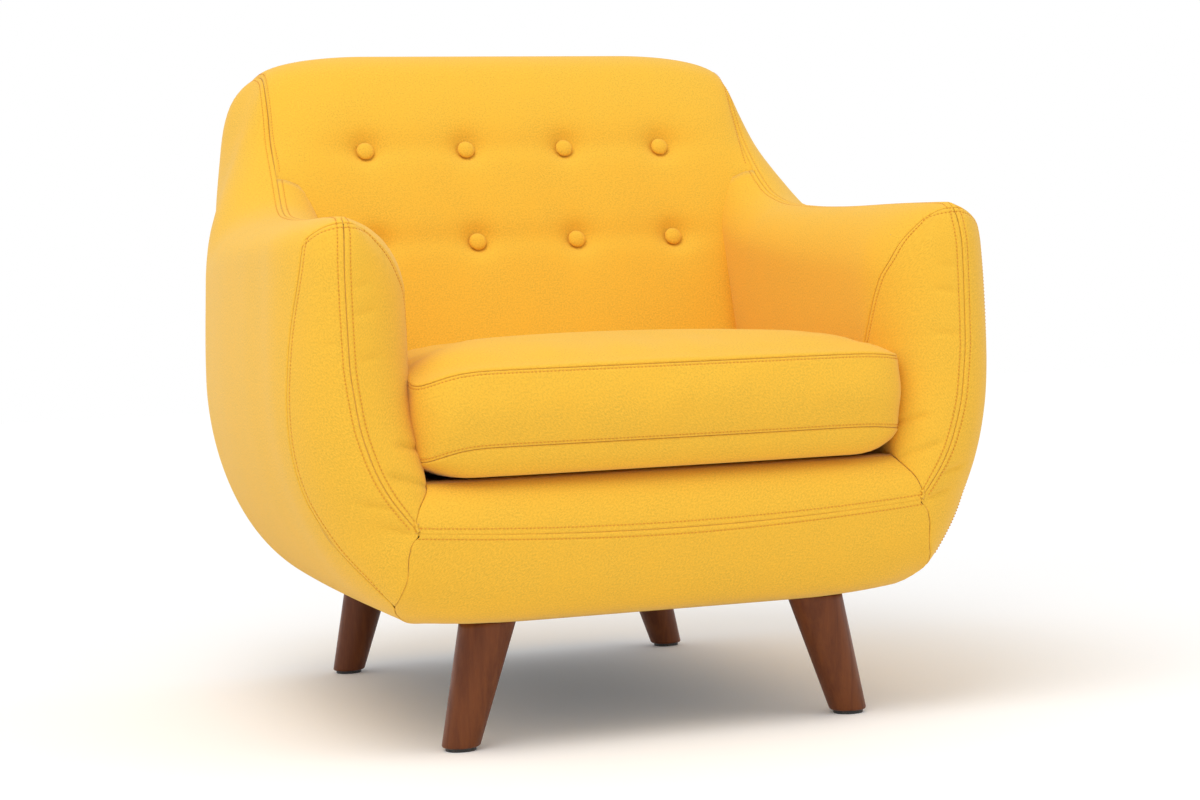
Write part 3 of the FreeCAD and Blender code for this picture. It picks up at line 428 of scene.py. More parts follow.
def outside(yz):
    """The outside of the body over the point (y, z): from the ridge to the half width by one quarter round
    behind the front ridge and another below the top ridge, which is slower over the shoulders."""
    y, z = yz[..., 0], yz[..., 1]
    x, from_top, from_front = edge_x(y, z)
    depth = smooth(y, [-.39, -.25, -.05, .06, .18, .30, .36, .41],
                   [.030, .037, .050, .064, .105, .105, .075, .052])
    depth = depth + (.052 - depth) * (1 - step(.40, .60, z))
    x = x + (half_width(y, z) - x) * roll(from_front / .13) * roll(from_top / depth)
    return np.stack([x, y, z], -1)


def inside(yz):
    """The inner face of the arm over the point (y, z), made in the same way; its round is tighter low down,
    where the arm's front turns square into the front border."""
    y, z = yz[..., 0], yz[..., 1]
    x, from_top, from_front = edge_x(y, z)
    depth = smooth(z, [.26, .30, .34, .40, .45], [.020, .028, .050, .090, .110])
    over = smooth(y, [-.39, -.30, .05], [.092, .086, .062])
    x = x - (x - INNER) * roll(from_front / depth) * roll(from_top / over)
    return np.stack([x, y, z], -1)


def inward(grid, core_x=None):
    """Unit directions from a surface towards the middle of the upholstery: a line through the arm and the
    back seen from the side, at core_x across, or square to X where core_x is left out."""
    line = np.array([(-.30, .25), (-.30, .54), (.10, .57), (.30, .66), (.33, .79), (.35, .50), (.35, .20)])
    k, t, _ = beside(grid[..., 1:], line)
    on = line[k] + t[..., None] * (line[k + 1] - line[k])
    x = grid[..., 0]
    across = x if core_x is None else x + (core_x - x) * step(.255, .33, grid[..., 2])
    way = np.concatenate([across[..., None], on], -1) - grid
    return way / np.linalg.norm(way, axis=-1, keepdims=True)


def rows_across(centre, end, u, part):
    """Rows from side to side: x is u times the end's, and (y, z) goes from the centre's to the end's by the
    given part."""
    yz = centre[:, None] + (end[:, None, 1:] - centre[:, None]) * part
    return np.concatenate([u[None, :, None] * end[:, None, :1], yz], 2)


def ridge_part(first, last):
    """The ridge seen from the side, from the point nearest to first to that nearest to last."""
    i, j = (nearest(RIDGE[:, :2], p) for p in (first, last))
    return RIDGE[i:j + 1, :2]


def front_ridge(low, high, count=900):
    """The front ridge seen from the side, between two heights."""
    z = np.linspace(low, high, count)
    return np.stack([front_y(z), z], 1)


TOP_FRONT = np.vstack([front_ridge(CROSS_SEAM[1], .61, 200), RIDGE[:1, :2]])
OUTER_SEAM = through([MEETING, (-.3705, .190), (-.3635, .210), (-.356, .227), (-.3455, .250),
                      (-.3385, .276), (-.333, .300), (-.332, .340), (-.339, .400), (-.349, .460),
                      (-.357, .497), (-.366, .530), (-.372, .557), (-.374, .585)])
OUTER_ARC = through([(-.374, .585), (-.3845, .5965), (front_y(CROSS_SEAM[1]), CROSS_SEAM[1])])
INNER_SEAM = through([(-.262, .298), (-.270, .340), (-.290, .400), (-.310, .449), (-.319, .4705),
                      (-.3305, .498), (-.343, .523), (-.356, .542), (-.365, .564), (-.373, .580),
                      (-.380, .594)])
INNER_ARC = through([(-.380, .594), (-.388, .600), (front_y(CROSS_SEAM[1]), CROSS_SEAM[1])])
LOWER_SEAM = through([JUNCTION, (-.4105, .235), (-.403, .206), (-.390, .188), MEETING, (-.354, .167),
                      (-.336, .1565), (-.315, .1505), (-.286, UNDERSIDE)])
UPPER_SEAM = through([JUNCTION, (-.4115, .275), (-.405, .291), (-.391, .305), (-.371, DECK - .001)])


def arm_panels(tuck):
    """The four panels of one side: outer and inner facings, outside and inside."""
    meet = nearest(LOWER_SEAM, MEETING)
    up_front = np.vstack([LOWER_SEAM[meet::-1], front_ridge(.262, CROSS_SEAM[1])])
    point = np.repeat(np.array([MEETING]), 8, 0)
    outer_facing = outside(patch(up_front, OUTER_SEAM, point, OUTER_ARC[::-1], 130, 60))
    inner_left = np.vstack([np.array([JUNCTION]), front_ridge(.262, CROSS_SEAM[1])])
    inner_foot = np.vstack([UPPER_SEAM, through([(-.345, .311), (-.30, .304), INNER_SEAM[0]], 6)])
    inner_facing = inside(patch(inner_left, INNER_SEAM, inner_foot, INNER_ARC[::-1], 120, 60))
    side_left = np.vstack([LOWER_SEAM[:meet:-1], OUTER_SEAM, OUTER_ARC[1:]])
    side_top = np.vstack([TOP_FRONT, ridge_part(RIDGE[1, :2], SHOULDER)])
    side_right = ridge_part(SHOULDER, RIDGE[-1, :2])[::-1]
    side_foot = np.array([LOWER_SEAM[-1], (RIDGE[-1, 0], UNDERSIDE)])
    side = outside(patch(side_left, side_right, side_foot, side_top, 190, 200))
    in_top = np.vstack([TOP_FRONT, ridge_part(RIDGE[1, :2], CROOK)])
    in_left = np.vstack([INNER_SEAM, INNER_ARC[1:]])
    in_right = through([(.150, .298), (.175, .400), (.185, .500), (.195, .600), (.200, .660), in_top[-1]])
    in_foot = np.array([INNER_SEAM[0], in_right[0]])
    inner = inside(patch(in_left, in_right, in_foot, in_top, 150, 150))
    made = [
        Panel(outer_facing, left=SEWN, right=SEWN, bottom=OPEN, top=SEWN, gap=.0038),
        Panel(side, bottom=OPEN, top=SEWN, gap=.010),
        Panel(inner_facing[:, ::-1], left=SEWN, right=SEWN, top=SEWN, gap=.0032),
        Panel(inner[:, ::-1], left=OPEN, bottom=OPEN, top=SEWN, gap=.010),
    ]
    made[0].row = np.where(by_lower_seam(made[0].grid), FAR, made[0].row)
    made[0].grid = puckered(made[0].grid, ((.290, .25, .008, .042, .0034), (.260, .40, .007, .038, .0030),
                                           (.470, -.05, .009, .030, .0014)))
    made[2].grid = puckered(made[2].grid, ((.358, -.20, .036, .088, .0040), (.326, -.35, .012, .064, .0036),
                                           (.452, .10, .009, .042, .0019), (.502, .15, .008, .040, .0019),
                                           (.532, .12, .008, .034, .0015)))
    return [p.sew(inward(p.grid, ARM_CORE), tuck) for p in made]


def by_lower_seam(points):
    """Whether points are close to the plain seam below the junction, seen from the side."""
    gap = np.linalg.norm(points[..., None, 1:] - LOWER_SEAM[::3], axis=-1).min(-1)
    return (gap < JUNCTION_REACH) & (points[..., 2] < JUNCTION[1] + .004)


def puckered(grid, creases):
    """Small creases where a facing is pulled round: each a valley of its depth *
    exp(-((z - height - lean (d - start)) / wide)2), d being the distance from the front ridge, between its
    start and its end."""
    wide = .0038
    z = grid[..., 2]
    away = np.hypot(front_x(z) - grid[..., 0], grid[..., 1] - front_y(z))
    drop = 0
    for height, lean, start, end, deep in creases:
        across = step(start - .006, start + .008, away) * (1 - step(end - .014, end + .004, away))
        drop = drop + deep * across * np.exp(-((z - height - lean * (away - start)) / wide) ** 2)
    return grid + drop[..., None] * inward(grid, ARM_CORE)


def border_panels(tuck):
    """The upper and lower panels of the front border, with the ridge seam between them. Each row leaves the
    middle for its side curve by w to a power, w being the part of the way from the middle to the side: 2 at
    the ridge, rising to 8 in the lower panel."""
    u = both_ways(60)
    w = np.abs(u)[None, :, None]
    made = []
    lower_mid = front_ridge(BORDER_RIDGE, UNDERSIDE, 60)
    upper_mid = np.vstack([lower_mid[:1], UPPER_SEAM])
    for mid, side, surface, sides in (
            (lower_mid, LOWER_SEAM, outside, dict(bottom=OPEN, top=SEWN)),
            (upper_mid, UPPER_SEAM, inside, dict(bottom=SEWN, top=OPEN))):
        t = np.linspace(0, 1, 80) if side is UPPER_SEAM else np.linspace(0, 1, 110)
        centre, end = at_parts(mid, t), surface(at_parts(side, t))
        power = 2 + (6 * step(0, .35, t) if side is LOWER_SEAM else 0 * t)
        grid = rows_across(centre, end, u, w ** power[:, None, None])
        if side is LOWER_SEAM:
            grid = grid[::-1]
        made.append(Panel(grid, gap=.009, **sides))
    return [p.sew(inward(p.grid), tuck) for p in made]


def back_face_y(z):
    """The inside back's plane, leaning back by the rake."""
    return UPPER_ROW_Y + (z - BUTTON_ROWS[1]) * math.tan(RAKE)


def button_places():
    """Where the covered buttons are: points on the raked face, four in each row."""
    xx, zz = (a.ravel() for a in np.meshgrid(np.linspace(-OUTER_BUTTON, OUTER_BUTTON, 4), BUTTON_ROWS))
    return np.stack([xx, back_face_y(zz), zz], 1)


def tufted(grid, amount, depth, width):
    """Pulls the inside back in at its buttons: at each, depth / (1 + (r / width)2)^1.5 beyond the button's
    own radius; a soft valley along each row of buttons; and a low swell between them."""
    upper = BUTTON_ROWS[1]
    flat, valley_depth, valley_width = .009, .0032, .017
    swell_height, swell_below, swell_width, pitch = .0035, .065, .10, .142
    x, up = grid[..., 0], (grid - np.array([0, UPPER_ROW_Y, upper])) @ FACE_UP
    drop = np.zeros_like(x)
    for at_x, at_z in button_places()[:, ::2]:
        r = np.maximum(np.hypot(x - at_x, up - (at_z - upper) / math.cos(RAKE)) - flat, 0)
        drop = np.maximum(drop, depth / (1 + (r / width) ** 2) ** 1.5)
    for height in BUTTON_ROWS:
        reach = 1 - step(.235, .31, np.abs(x))
        off = up - (height - upper) / math.cos(RAKE)
        drop = drop + valley_depth * reach * np.exp(-(off / valley_width) ** 2)
    swell = (swell_height * np.cos(math.pi * x / pitch) ** 2
             * np.exp(-((up + swell_below) / swell_width) ** 2))
    return grid - ((drop - swell) * amount)[..., None] * FACE_OUT


def back_panel(tuck, depth, width):
    """The inside back: rows between the two side curves, up the raked face and over the top roll. In a row
    the middle is on the centre profile, and past w0 the cloth rounds back to the side by
    1 - sqrt(1 - ((w - w0) / (1 - w0))2). The rows keep in step with the side at the foot, the upper
    buttons and the top."""
    z = np.array([.300, .400, .500, .580, .640, .670])
    low_side = np.stack([[.120, .150, .160, .168, .174, .179], z, [.301, .301, .301, .303, .313, .325]], 1)
    rise = RIDGE[nearest(RIDGE[:, :2], CROOK):nearest(RIDGE[:, :2], BACK_TOP_EDGE) + 1]
    side = np.vstack([through(np.vstack([low_side, rise[:1]]))[:-1], rise])
    foot, upper, roll_from, rows = z[0], BUTTON_ROWS[1], .785, 220
    middle = through([*((back_face_y(h), h) for h in (foot, .500, upper)),
                      (back_face_y(roll_from) + .001, roll_from), (.2465, .825), (.270, .8560),
                      (.308, .8742), (.348, .8765), (.384, .862), (.411, .827), BACK_TOP_EDGE])

    def marks(curve, lower):
        run = run_lengths(curve[None])[0]
        levels = [np.abs(curve[:, 1] - h)[:int(len(curve) * lower)].argmin() for h in (foot, upper)]
        return run[levels + [curve[:, 1].argmax(), -1]]

    side_marks, mid_marks = marks(side, .6), marks(middle, .5)
    at = np.linspace(0, mid_marks[-1], rows)
    centre = at_parts(middle, at / mid_marks[-1])
    end = at_parts(side, np.interp(at, mid_marks, side_marks) / side_marks[-1])
    u = both_ways(100)
    w = np.abs(u)[None, :, None]
    start = smooth(centre[:, 1], [.30, .60, .70, .80, .86], [.87, .87, .80, .68, .56])[:, None, None]
    blend = 1 - np.sqrt(1 - np.clip((w - start) / (1 - start), 0, 1) ** 2)
    grid = rows_across(centre, np.roll(end, 1, axis=1), u, blend)
    panel = Panel(grid, left=SEWN, right=SEWN, bottom=OPEN, gap=.0075)
    sewn_here = step(.685, .70, panel.grid[..., 2])
    # Painted shade: low on the back, where it meets the inside of the arm, the distance across to the arm
    # joins the seam distances, so the cloth paints the crease's shade there as it does at a seam
    to_arm = np.abs(inside(panel.grid[..., 1:])[..., 0] - np.abs(panel.grid[..., 0]))
    crevice_shade = np.where((panel.grid[..., 1] < .30) & (panel.grid[..., 2] < .69), to_arm, FAR)
    panel.seam, panel.row = (d * sewn_here + FAR * (1 - sewn_here) for d in (panel.seam, panel.row))
    panel.sew(inward(panel.grid), tuck)
    amount = (1 - step(.79, .84, panel.grid[..., 2])) * (panel.grid[..., 1] < .30)
    panel.grid = tufted(panel.grid, amount, depth, width)
    panel.seam = np.minimum(panel.seam, crevice_shade)
    return panel


def outside_back_panel(tuck):
    """The outside back: rows across from one rear edge to the other, level with it, swelling by 3 mm."""
    edge = RIDGE[nearest(RIDGE[:, :2], BACK_TOP_EDGE):]
    edge = at_parts(edge, np.linspace(0, 1, 120))[::-1]
    u = both_ways(80)
    w = np.abs(u)[None]
    level = np.maximum(edge[:, :1], BACK_TOP_EDGE[0])
    level = level + .003 * np.sin(math.pi * step(UNDERSIDE, BACK_TOP_EDGE[1], edge[:, 1:2]))
    y = edge[:, :1] + (level - edge[:, :1]) * (1 - w ** 6)
    grid = np.stack([-u[None] * edge[:, 2:3], y, np.broadcast_to(edge[:, 1:2], y.shape)], 2)
    panel = Panel(grid, bottom=OPEN, gap=.012)
    return panel.sew(inward(panel.grid), tuck)


# ------------------------------------------------------------------ stitches
def stitches_along(points, ways, pitch, length, thick):
    """Short threads along a line of points: each a capsule of five sides, length / 2 each way along the
    line, arched so that its ends dip into the cloth."""
    run = run_lengths(points[None])[0]
    count = max(1, int(run[-1] / pitch))
    at = (np.arange(count) + .5) * run[-1] / count
    pick = lambda a, s: np.stack([np.interp(s, run, a[:, k]) for k in range(3)], 1)
    centre, out = pick(points, at), pick(ways, at)
    along = pick(points, at + .001) - pick(points, at - .001)
    along /= np.maximum(np.linalg.norm(along, axis=1, keepdims=True), 1e-9)
    out -= (out * along).sum(1, keepdims=True) * along
    out /= np.linalg.norm(out, axis=1, keepdims=True)
    side = np.cross(out, along)
    s = np.array([-1, -.72, -.25, .25, .72, 1])
    size = np.array([.15, .85, 1, 1, .85, .15]) * thick / 2
    lift = .35 * thick * (1 - 1.9 * s ** 2)
    sides, last = 5, 5 * (len(s) - 1)
    turn = np.arange(sides) * 2 * math.pi / sides
    shape = np.stack([np.repeat(s * length / 2, sides), np.outer(size, np.cos(turn)).ravel(),
                      np.outer(size, np.sin(turn)).ravel() + np.repeat(lift, sides)], 1)
    verts = (centre[:, None] + shape[None, :, :1] * along[:, None] + shape[None, :, 1:2] * side[:, None]
             + shape[None, :, 2:] * out[:, None])
    ring = np.arange(last).reshape(-1, sides)
    nxt = np.roll(ring, -1, axis=1)
    quads = np.stack([ring, nxt, nxt + sides, ring + sides], 2).reshape(-1, 4)
    quads = np.vstack([quads, [[0, 4, 3, 2], [last, last + 1, last + 2, last + 3]]])
    tris = np.array([[0, 2, 1], [last, last + 3, last + 4]])
    shift = (np.arange(count) * len(shape))[:, None, None]
    return verts.reshape(-1, 3), (quads[None] + shift).reshape(-1, 4), (tris[None] + shift).reshape(-1, 3)


def thread_piece(name, lines, pitch, length, thick):
    """All the stitches of several lines as one piece."""
    points, quads, tris, start = [], [], [], 0
    for line, ways in lines:
        p, q, t = stitches_along(line, ways, pitch, length, thick)
        points.append(p)
        quads.append(q + start)
        tris.append(t + start)
        start += len(p)
    points, quads, tris = np.vstack(points), np.vstack(quads), np.vstack(tris)
    piece = plain_piece(name, points, quads.tolist() + tris.tolist())
    piece.data.polygons.foreach_set("use_smooth", np.ones(len(piece.data.polygons), bool))
    return piece


def row_lines(panel, shown=None):
    """The stitch rows of a panel: the lines of its grid at a row's distance from each topstitched edge,
    where shown holds for their points."""
    ways = panel.normals()
    lines = []
    for side, kind in panel.kinds.items():
        if kind is SEWN or kind is BANDED:
            k = int(np.abs(kind - (ROW if kind is SEWN else BAND_ROW)).argmin())
            k = k if side in ("left", "bottom") else -1 - k
            pick = (slice(None), k) if side in ("left", "right") else (k,)
            keep = slice(None) if shown is None else shown(panel.grid[pick])
            lines.append((panel.grid[pick][keep], ways[pick][keep]))
    return lines


# ------------------------------------------------------------------ finishes
class Nodes:
    """The node tree of a material or a world, with short ways to add nodes."""

    def __init__(self, owner, last):
        owner.use_nodes = True
        self.tree = owner.node_tree
        self.shader = self.tree.nodes[last]

    def put(self, socket, name):
        self.tree.links.new(socket, self.shader.inputs[name])

    def node(self, kind, inputs=(), **settings):
        made = self.tree.nodes.new("ShaderNode" + kind)
        for key, value in settings.items():
            setattr(made, key, value)
        for key, value in dict(inputs).items():
            if isinstance(value, bpy.types.NodeSocket):
                self.tree.links.new(value, made.inputs[key])
            else:
                made.inputs[key].default_value = value
        return made

    def math(self, operation, a, b=0.0, c=0.0):
        return self.node("Math", {0: a, 1: b, 2: c}, operation=operation).outputs[0]

    def between(self, value, low, high, to_low, to_high):
        return self.node("MapRange", {0: value, 1: low, 2: high, 3: to_low, 4: to_high}).outputs[0]

    def seen(self):
        """1 where the ray comes from the camera, from a gloss or through glass, and 0 for light."""
        rays = self.node("LightPath").outputs
        return self.math("MAXIMUM", self.math("MAXIMUM", rays["Is Camera Ray"], rays["Is Glossy Ray"]),
                         rays["Is Transmission Ray"])


class Finish(Nodes):
    """A material. Constant sheen, coat and gloss sit on the shader's own sockets."""

    def __init__(self, name, **constants):
        self.material = bpy.data.materials.new(name)
        super().__init__(self.material, "Principled BSDF")
        for key, value in constants.items():
            self.shader.inputs[key.replace("_", " ")].default_value = value

    def noise(self, where, scale, detail=2.0, rough=.5):
        return self.node("TexNoise", {"Vector": where, "Scale": scale, "Detail": detail,
                                      "Roughness": rough}).outputs["Fac"]

    def mix(self, part, a, b, blend="MIX"):
        made = self.node("Mix", data_type="RGBA", blend_type=blend)
        for key, value in (("Factor_Float", part), ("A_Color", a), ("B_Color", b)):
            socket = next(s for s in made.inputs if s.identifier == key)
            if isinstance(value, bpy.types.NodeSocket):
                self.tree.links.new(value, socket)
            else:
                socket.default_value = value
        return next(s for s in made.outputs if s.identifier == "Result_Color")

    def object(self):
        return self.node("TexCoord").outputs["Object"]

    def stretched(self, scale):
        return self.node("Mapping", {"Vector": self.object(), "Scale": scale}).outputs[0]

    def weave(self):
        return self.node("UVMap", uv_map="weave").outputs[0]

    def read(self, name):
        return self.node("Attribute", attribute_name=name).outputs["Fac"]

    def finish(self, colour, height, depth, strength=.5, roughness=None):
        self.put(colour, "Base Color")
        if roughness is not None:
            self.put(roughness, "Roughness")
        bump = self.node("Bump", {"Strength": strength, "Distance": depth, "Height": height})
        self.put(bump.outputs[0], "Normal")
        return self.material


def shade(colour, part):
    """The colour times part, which is one number or one for each of red, green and blue, as a socket's
    four numbers."""
    return (*np.minimum(1, np.array(colour[:3]) * part).tolist(), 1)


def woven(f, where, pitch):
    """Height of a plain weave: one thread over, one under, from the product of two sines a thread apart."""
    xyz = f.node("SeparateXYZ", {0: where})
    k = 2 * math.pi / pitch
    wobble = f.noise(where, .18 / pitch, 2)
    u = f.math("MULTIPLY_ADD", xyz.outputs[0], k, f.math("MULTIPLY", wobble, 1.6))
    v = f.math("MULTIPLY_ADD", xyz.outputs[1], k, f.math("MULTIPLY", wobble, -1.6))
    cross = f.math("MULTIPLY", f.math("SINE", u), f.math("SINE", v))
    return f.math("MULTIPLY_ADD", cross, .5, .5)


def cover_cloth(name, colour, pitch):
    """Mustard upholstery cloth: plain weave with slubs, a light mottle in the dye, a little fuzz that
    catches side light, and painted shade along the seams and the stitch rows, where the sewing pulls it in."""
    f = Finish(name, Roughness=.9, Specular_IOR_Level=.16, Sheen_Weight=.22, Sheen_Roughness=.42)
    f.shader.inputs["Sheen Tint"].default_value = (1, .92, .72, 1)
    where = f.weave()
    threads = woven(f, where, pitch)
    fleck = f.noise(where, .95 / pitch, 3, .8)
    cloud = f.noise(where, .26 / pitch, 3, .6)
    mottle = f.noise(f.object(), 22, 3, .6)
    tone = f.mix(f.between(fleck, .36, .64, 0, 1), shade(colour, .79), shade(colour, 1.10))
    for value, reach, other in (
            (cloud, (.35, .65, .12, 0), .80), (threads, (0, 1, .22, 0), .74),
            (mottle, (.35, .70, 0, .35), (1, .95, .8)),
            # Painted shade: darker, more saturated cloth within 1.4 mm of a seam and along a stitch row,
            # standing for the shade in the seam's crease and in the needle holes
            (f.read("seam"), (.0001, .0014, .22, 0), (.70, .50, .3)),
            (f.read("row"), (.0002, .0010, .24, 0), (.70, .52, .3))):
        tone = f.mix(f.between(value, *reach), tone, shade(colour, other))
    height = f.math("ADD", threads, f.math("MULTIPLY", fleck, .8))
    return f.finish(tone, height, depth=.0004, strength=.30)


def thread(colour):
    """Twisted sewing thread with a slight gloss, its colour a shade deeper than the cloth as painted shade
    of the needle holes and the groove it lies in.
    """
    f = Finish("stitching_thread", Roughness=.55, Specular_IOR_Level=.35, Sheen_Weight=.1)
    ply = f.noise(f.object(), 2600, 1)
    deep = shade(colour, (.80, .58, .35))
    tone = f.mix(f.between(ply, .3, .7, 0, 1), shade(deep, .80), shade(deep, 1.15))
    return f.finish(tone, ply, depth=.0002)


def wood(name, light, dark, grain=(70, 70, 5), gloss=.42, coat=0.0, shine=.45):
    """Wood: stretched noise for the figure, finer streaks for the fibres, dark pores along the grain."""
    f = Finish(name, Specular_IOR_Level=shine, Coat_Weight=coat, Coat_Roughness=.25)
    bent = f.noise(f.stretched(grain), .45, 3, .55)
    rings = f.math("SINE", f.math("MULTIPLY", bent, 34))
    fibre = f.noise(f.stretched([g * 9 for g in grain]), 1, 2)
    part = f.math("ADD", f.between(rings, -1, 1, 0, .55), f.between(fibre, .3, .7, 0, .45))
    tone = f.mix(part, (*dark, 1), (*light, 1))
    tone = f.mix(f.between(fibre, .66, .74, 0, .55), tone, shade(dark, .45))
    rough = f.between(part, 0, 1, gloss + .10, gloss - .03)
    return f.finish(tone, f.math("MULTIPLY", fibre, -1), depth=.0003, strength=.18, roughness=rough)


def plywood():
    """Birch ply: pale face grain crossed by darker glue lines 3 mm apart through the sheet."""
    f = Finish("birch_plywood", Roughness=.62)
    xyz = f.node("SeparateXYZ", {0: f.object()})
    plies = f.math("SINE", f.math("MULTIPLY", xyz.outputs[0], 2 * math.pi / .003))
    grain = f.noise(f.stretched((60, 6, 60)), 1, 4, .6)
    tone = f.mix(f.between(grain, .3, .7, 0, 1), (.60, .42, .24, 1), (.74, .56, .36, 1))
    tone = f.mix(f.between(plies, .6, .95, 0, .35), tone, (.30, .17, .08, 1))
    return f.finish(tone, grain, depth=.0003, strength=.25)


def foam():
    """Polyurethane foam: pale cream with fine open cells."""
    f = Finish("seat_foam", Roughness=.95, Specular_IOR_Level=.15)
    cells = f.node("TexVoronoi", {"Vector": f.object(), "Scale": 420}).outputs["Distance"]
    age = f.noise(f.object(), 9, 3)
    tone = f.mix(f.between(age, .35, .7, 0, 1), (.84, .78, .60, 1), (.80, .70, .46, 1))
    tone = f.mix(f.between(cells, 0, .35, .35, 0), tone, (.52, .42, .22, 1))
    return f.finish(tone, cells, depth=.0006, strength=.6)


def plain_cloth(name, colour, pitch):
    """Woven lining cloth on Object coordinates: webbing, deck and zip tape."""
    f = Finish(name, Roughness=.88, Specular_IOR_Level=.2, Sheen_Weight=.1)
    where = f.object()
    threads = woven(f, where, pitch)
    worn = f.noise(where, 30, 3)
    tone = f.mix(threads, shade(colour, .6), shade(colour, 1))
    tone = f.mix(f.between(worn, .4, .7, 0, .25), tone, shade(colour, .7))
    return f.finish(tone, threads, depth=.0004, strength=.5)


def bonded_cloth():
    """Black non-woven dust cloth with its grid of bonded dots."""
    f = Finish("black_dust_cloth", Roughness=.9, Specular_IOR_Level=.2)
    where = f.object()
    xyz = f.node("SeparateXYZ", {0: where})
    k = 2 * math.pi / .0045
    dots = f.math("MULTIPLY", f.math("SINE", f.math("MULTIPLY", xyz.outputs[0], k)),
                  f.math("SINE", f.math("MULTIPLY", xyz.outputs[1], k)))
    fibres = f.noise(where, 700, 3, .7)
    tone = f.mix(f.between(fibres, .3, .7, 0, 1), (.010, .010, .011, 1), (.030, .030, .032, 1))
    return f.finish(tone, f.math("ADD", f.math("MULTIPLY", dots, -.5), fibres), depth=.0003, strength=.5)


def metal(name, colour, roughness, wear):
    """Plated metal: drawn streaks in the gloss and a few dull spots."""
    f = Finish(name, Metallic=1.0)
    streak = f.noise(f.stretched((30, 400, 400)), 1, 2)
    spots = f.noise(f.object(), 90, 4, .6)
    tone = f.mix(f.between(spots, .55, .72, 0, wear), shade(colour, 1), shade(colour, .45))
    rough = f.between(streak, .3, .7, roughness - .06, roughness + .10)
    return f.finish(tone, streak, depth=.0001, strength=.15, roughness=rough)


def plastic():
    """Dark moulded glide: fine sparkle texture, scuffed paler underneath."""
    f = Finish("glide_plastic", Roughness=.5)
    grain = f.noise(f.object(), 1500, 2)
    scuff = f.noise(f.object(), 160, 4, .7)
    tone = f.mix(f.between(scuff, .5, .7, 0, .4), (.018, .017, .016, 1), (.10, .095, .09, 1))
    return f.finish(tone, grain, depth=.0001, strength=.4)


# ------------------------------------------------------------------ sizes and colours a user may change
def metres(name, description, default, low, high):
    """A size that the sidebar shows in metres."""
    return bpy.props.FloatProperty(name=name, description=description, default=default, min=low, max=high,
                                   subtype="DISTANCE", unit="LENGTH", precision=4)


def tint(name, description, default):
    """A colour that the sidebar shows as red, green and blue."""
    return bpy.props.FloatVectorProperty(name=name, description=description, default=default, min=0, max=1,
                                         subtype="COLOR", size=3)


def watts(name, description, default):
    """A lamp's power in watts."""
    return bpy.props.FloatProperty(name=name, description=description, default=default, min=0, max=500,
                                   subtype="POWER", unit="POWER")


def number(name, description, default, high):
    """A plain number from 0 up."""
    return bpy.props.FloatProperty(name=name, description=description, default=default, min=0, max=high)


class CoverSettings(bpy.types.PropertyGroup):
    """The cloth and its sewing."""
    colour: tint("Cloth colour", "Main colour of the upholstery cloth", (.91, .518, .050))
    pitch: metres("Thread pitch", "From one thread of the weave to the next but one", .0022, .0008, .006)
    tuck: metres("Seam depth", "How far the cloth turns in at a seam", .0015, .001, .008)
    stitch_pitch: metres("Stitch pitch", "From one stitch to the next", .0044, .003, .012)
    stitch_length: metres("Stitch length", "Length of one stitch on the face", .0029, .002, .01)
    thread: metres("Thread thickness", "Diameter of the sewing thread", .0012, .0004, .003)


class BackSettings(bpy.types.PropertyGroup):
    """The buttoned back."""
    tuft_depth: metres("Tuft depth", "How far a button pulls the back in", .0120, .004, .03)
    tuft_width: metres("Tuft width", "Spread of the dimple round a button", .0160, .006, .04)
    button: metres("Button diameter", "Across a covered button", .0240, .012, .04)
    dome: metres("Button dome", "Height of a button's domed face over its rim", .0042, .001, .015)


class CushionSettings(bpy.types.PropertyGroup):
    """The loose seat cushion."""
    crown: metres("Crown", "Height of the middle of the top over its seam", .026, 0, .06)
    filling: number("Filling", "Pressure of the filling while the cover settles", 4, 20)
    spare: number("Spare cloth", "How much larger than the filling the cover is cut", .03, .2)
    swell: metres("Most swelling", "How far the filling may move the cover", .008, 0, .03)
    bulge: metres("Front bulge", "How far the front band swells out past its seams", .008, 0, .02)


class LegSettings(bpy.types.PropertyGroup):
    """The turned legs."""
    foot: metres("Foot diameter", "Across the leg at the floor", .0426, .02, .06)
    splay: bpy.props.FloatProperty(
        name="Splay", description="Lean of a leg to its side", default=math.radians(15), min=0,
        max=math.radians(30), subtype="ANGLE", unit="ROTATION")
    light: tint("Light grain", "Paler colour in the wood's figure", (.172, .045, .0068))
    dark: tint("Dark grain", "Darker colour in the wood's figure", (.108, .0255, .0042))


class StageSettings(bpy.types.PropertyGroup):
    """The studio."""
    floor: tint("Floor colour", "Colour of the studio floor", (.97, .97, .97))
    sky: number("Sky strength", "Light that comes evenly from all round", .77, 2)
    lift: number("Floor lift", "How much paler than its lit colour the floor is seen", .06, 1)
    key: watts("Key light", "Large soft lamp up to the left of the camera", 72)
    fill: watts("Fill light", "Large soft lamp to the right", 9)


def settings(context):
    """The sidebar's groups of sizes and colours, by name."""
    return {key: getattr(context.scene, "armchair_" + key) for key in GROUPS}


_finishes = {}


def finish_named(name, make, *args, **options):
    """Each finish is made once."""
    if name not in _finishes:
        _finishes[name] = make(*args, **options)
    return _finishes[name]


def cloth(context):
    """The upholstery cloth in the sidebar's colour and pitch."""
    cover = settings(context)["cover"]
    return finish_named("mustard_cloth", cover_cloth, "mustard_cloth", tuple(cover.colour), cover.pitch)


def add_stitches(context, name, lines, body):
    """Stitches along the lines, sewn with the sidebar's thread."""
    cover = settings(context)["cover"]
    piece = thread_piece(name, lines, cover.stitch_pitch, cover.stitch_length, cover.thread)
    dress(piece, body, finish_named("thread", thread, tuple(cover.colour)))


def upholster(context, name, panels, nodes, body="chair", thickness=COVER_THICKNESS):
    """Sews the panels together in place of the nodes and gives the cloth the given thickness."""
    piece = sew_together(name, panels)
    thicken(piece, thickness)
    return dress(piece, body, cloth(context), stands_for=nodes)


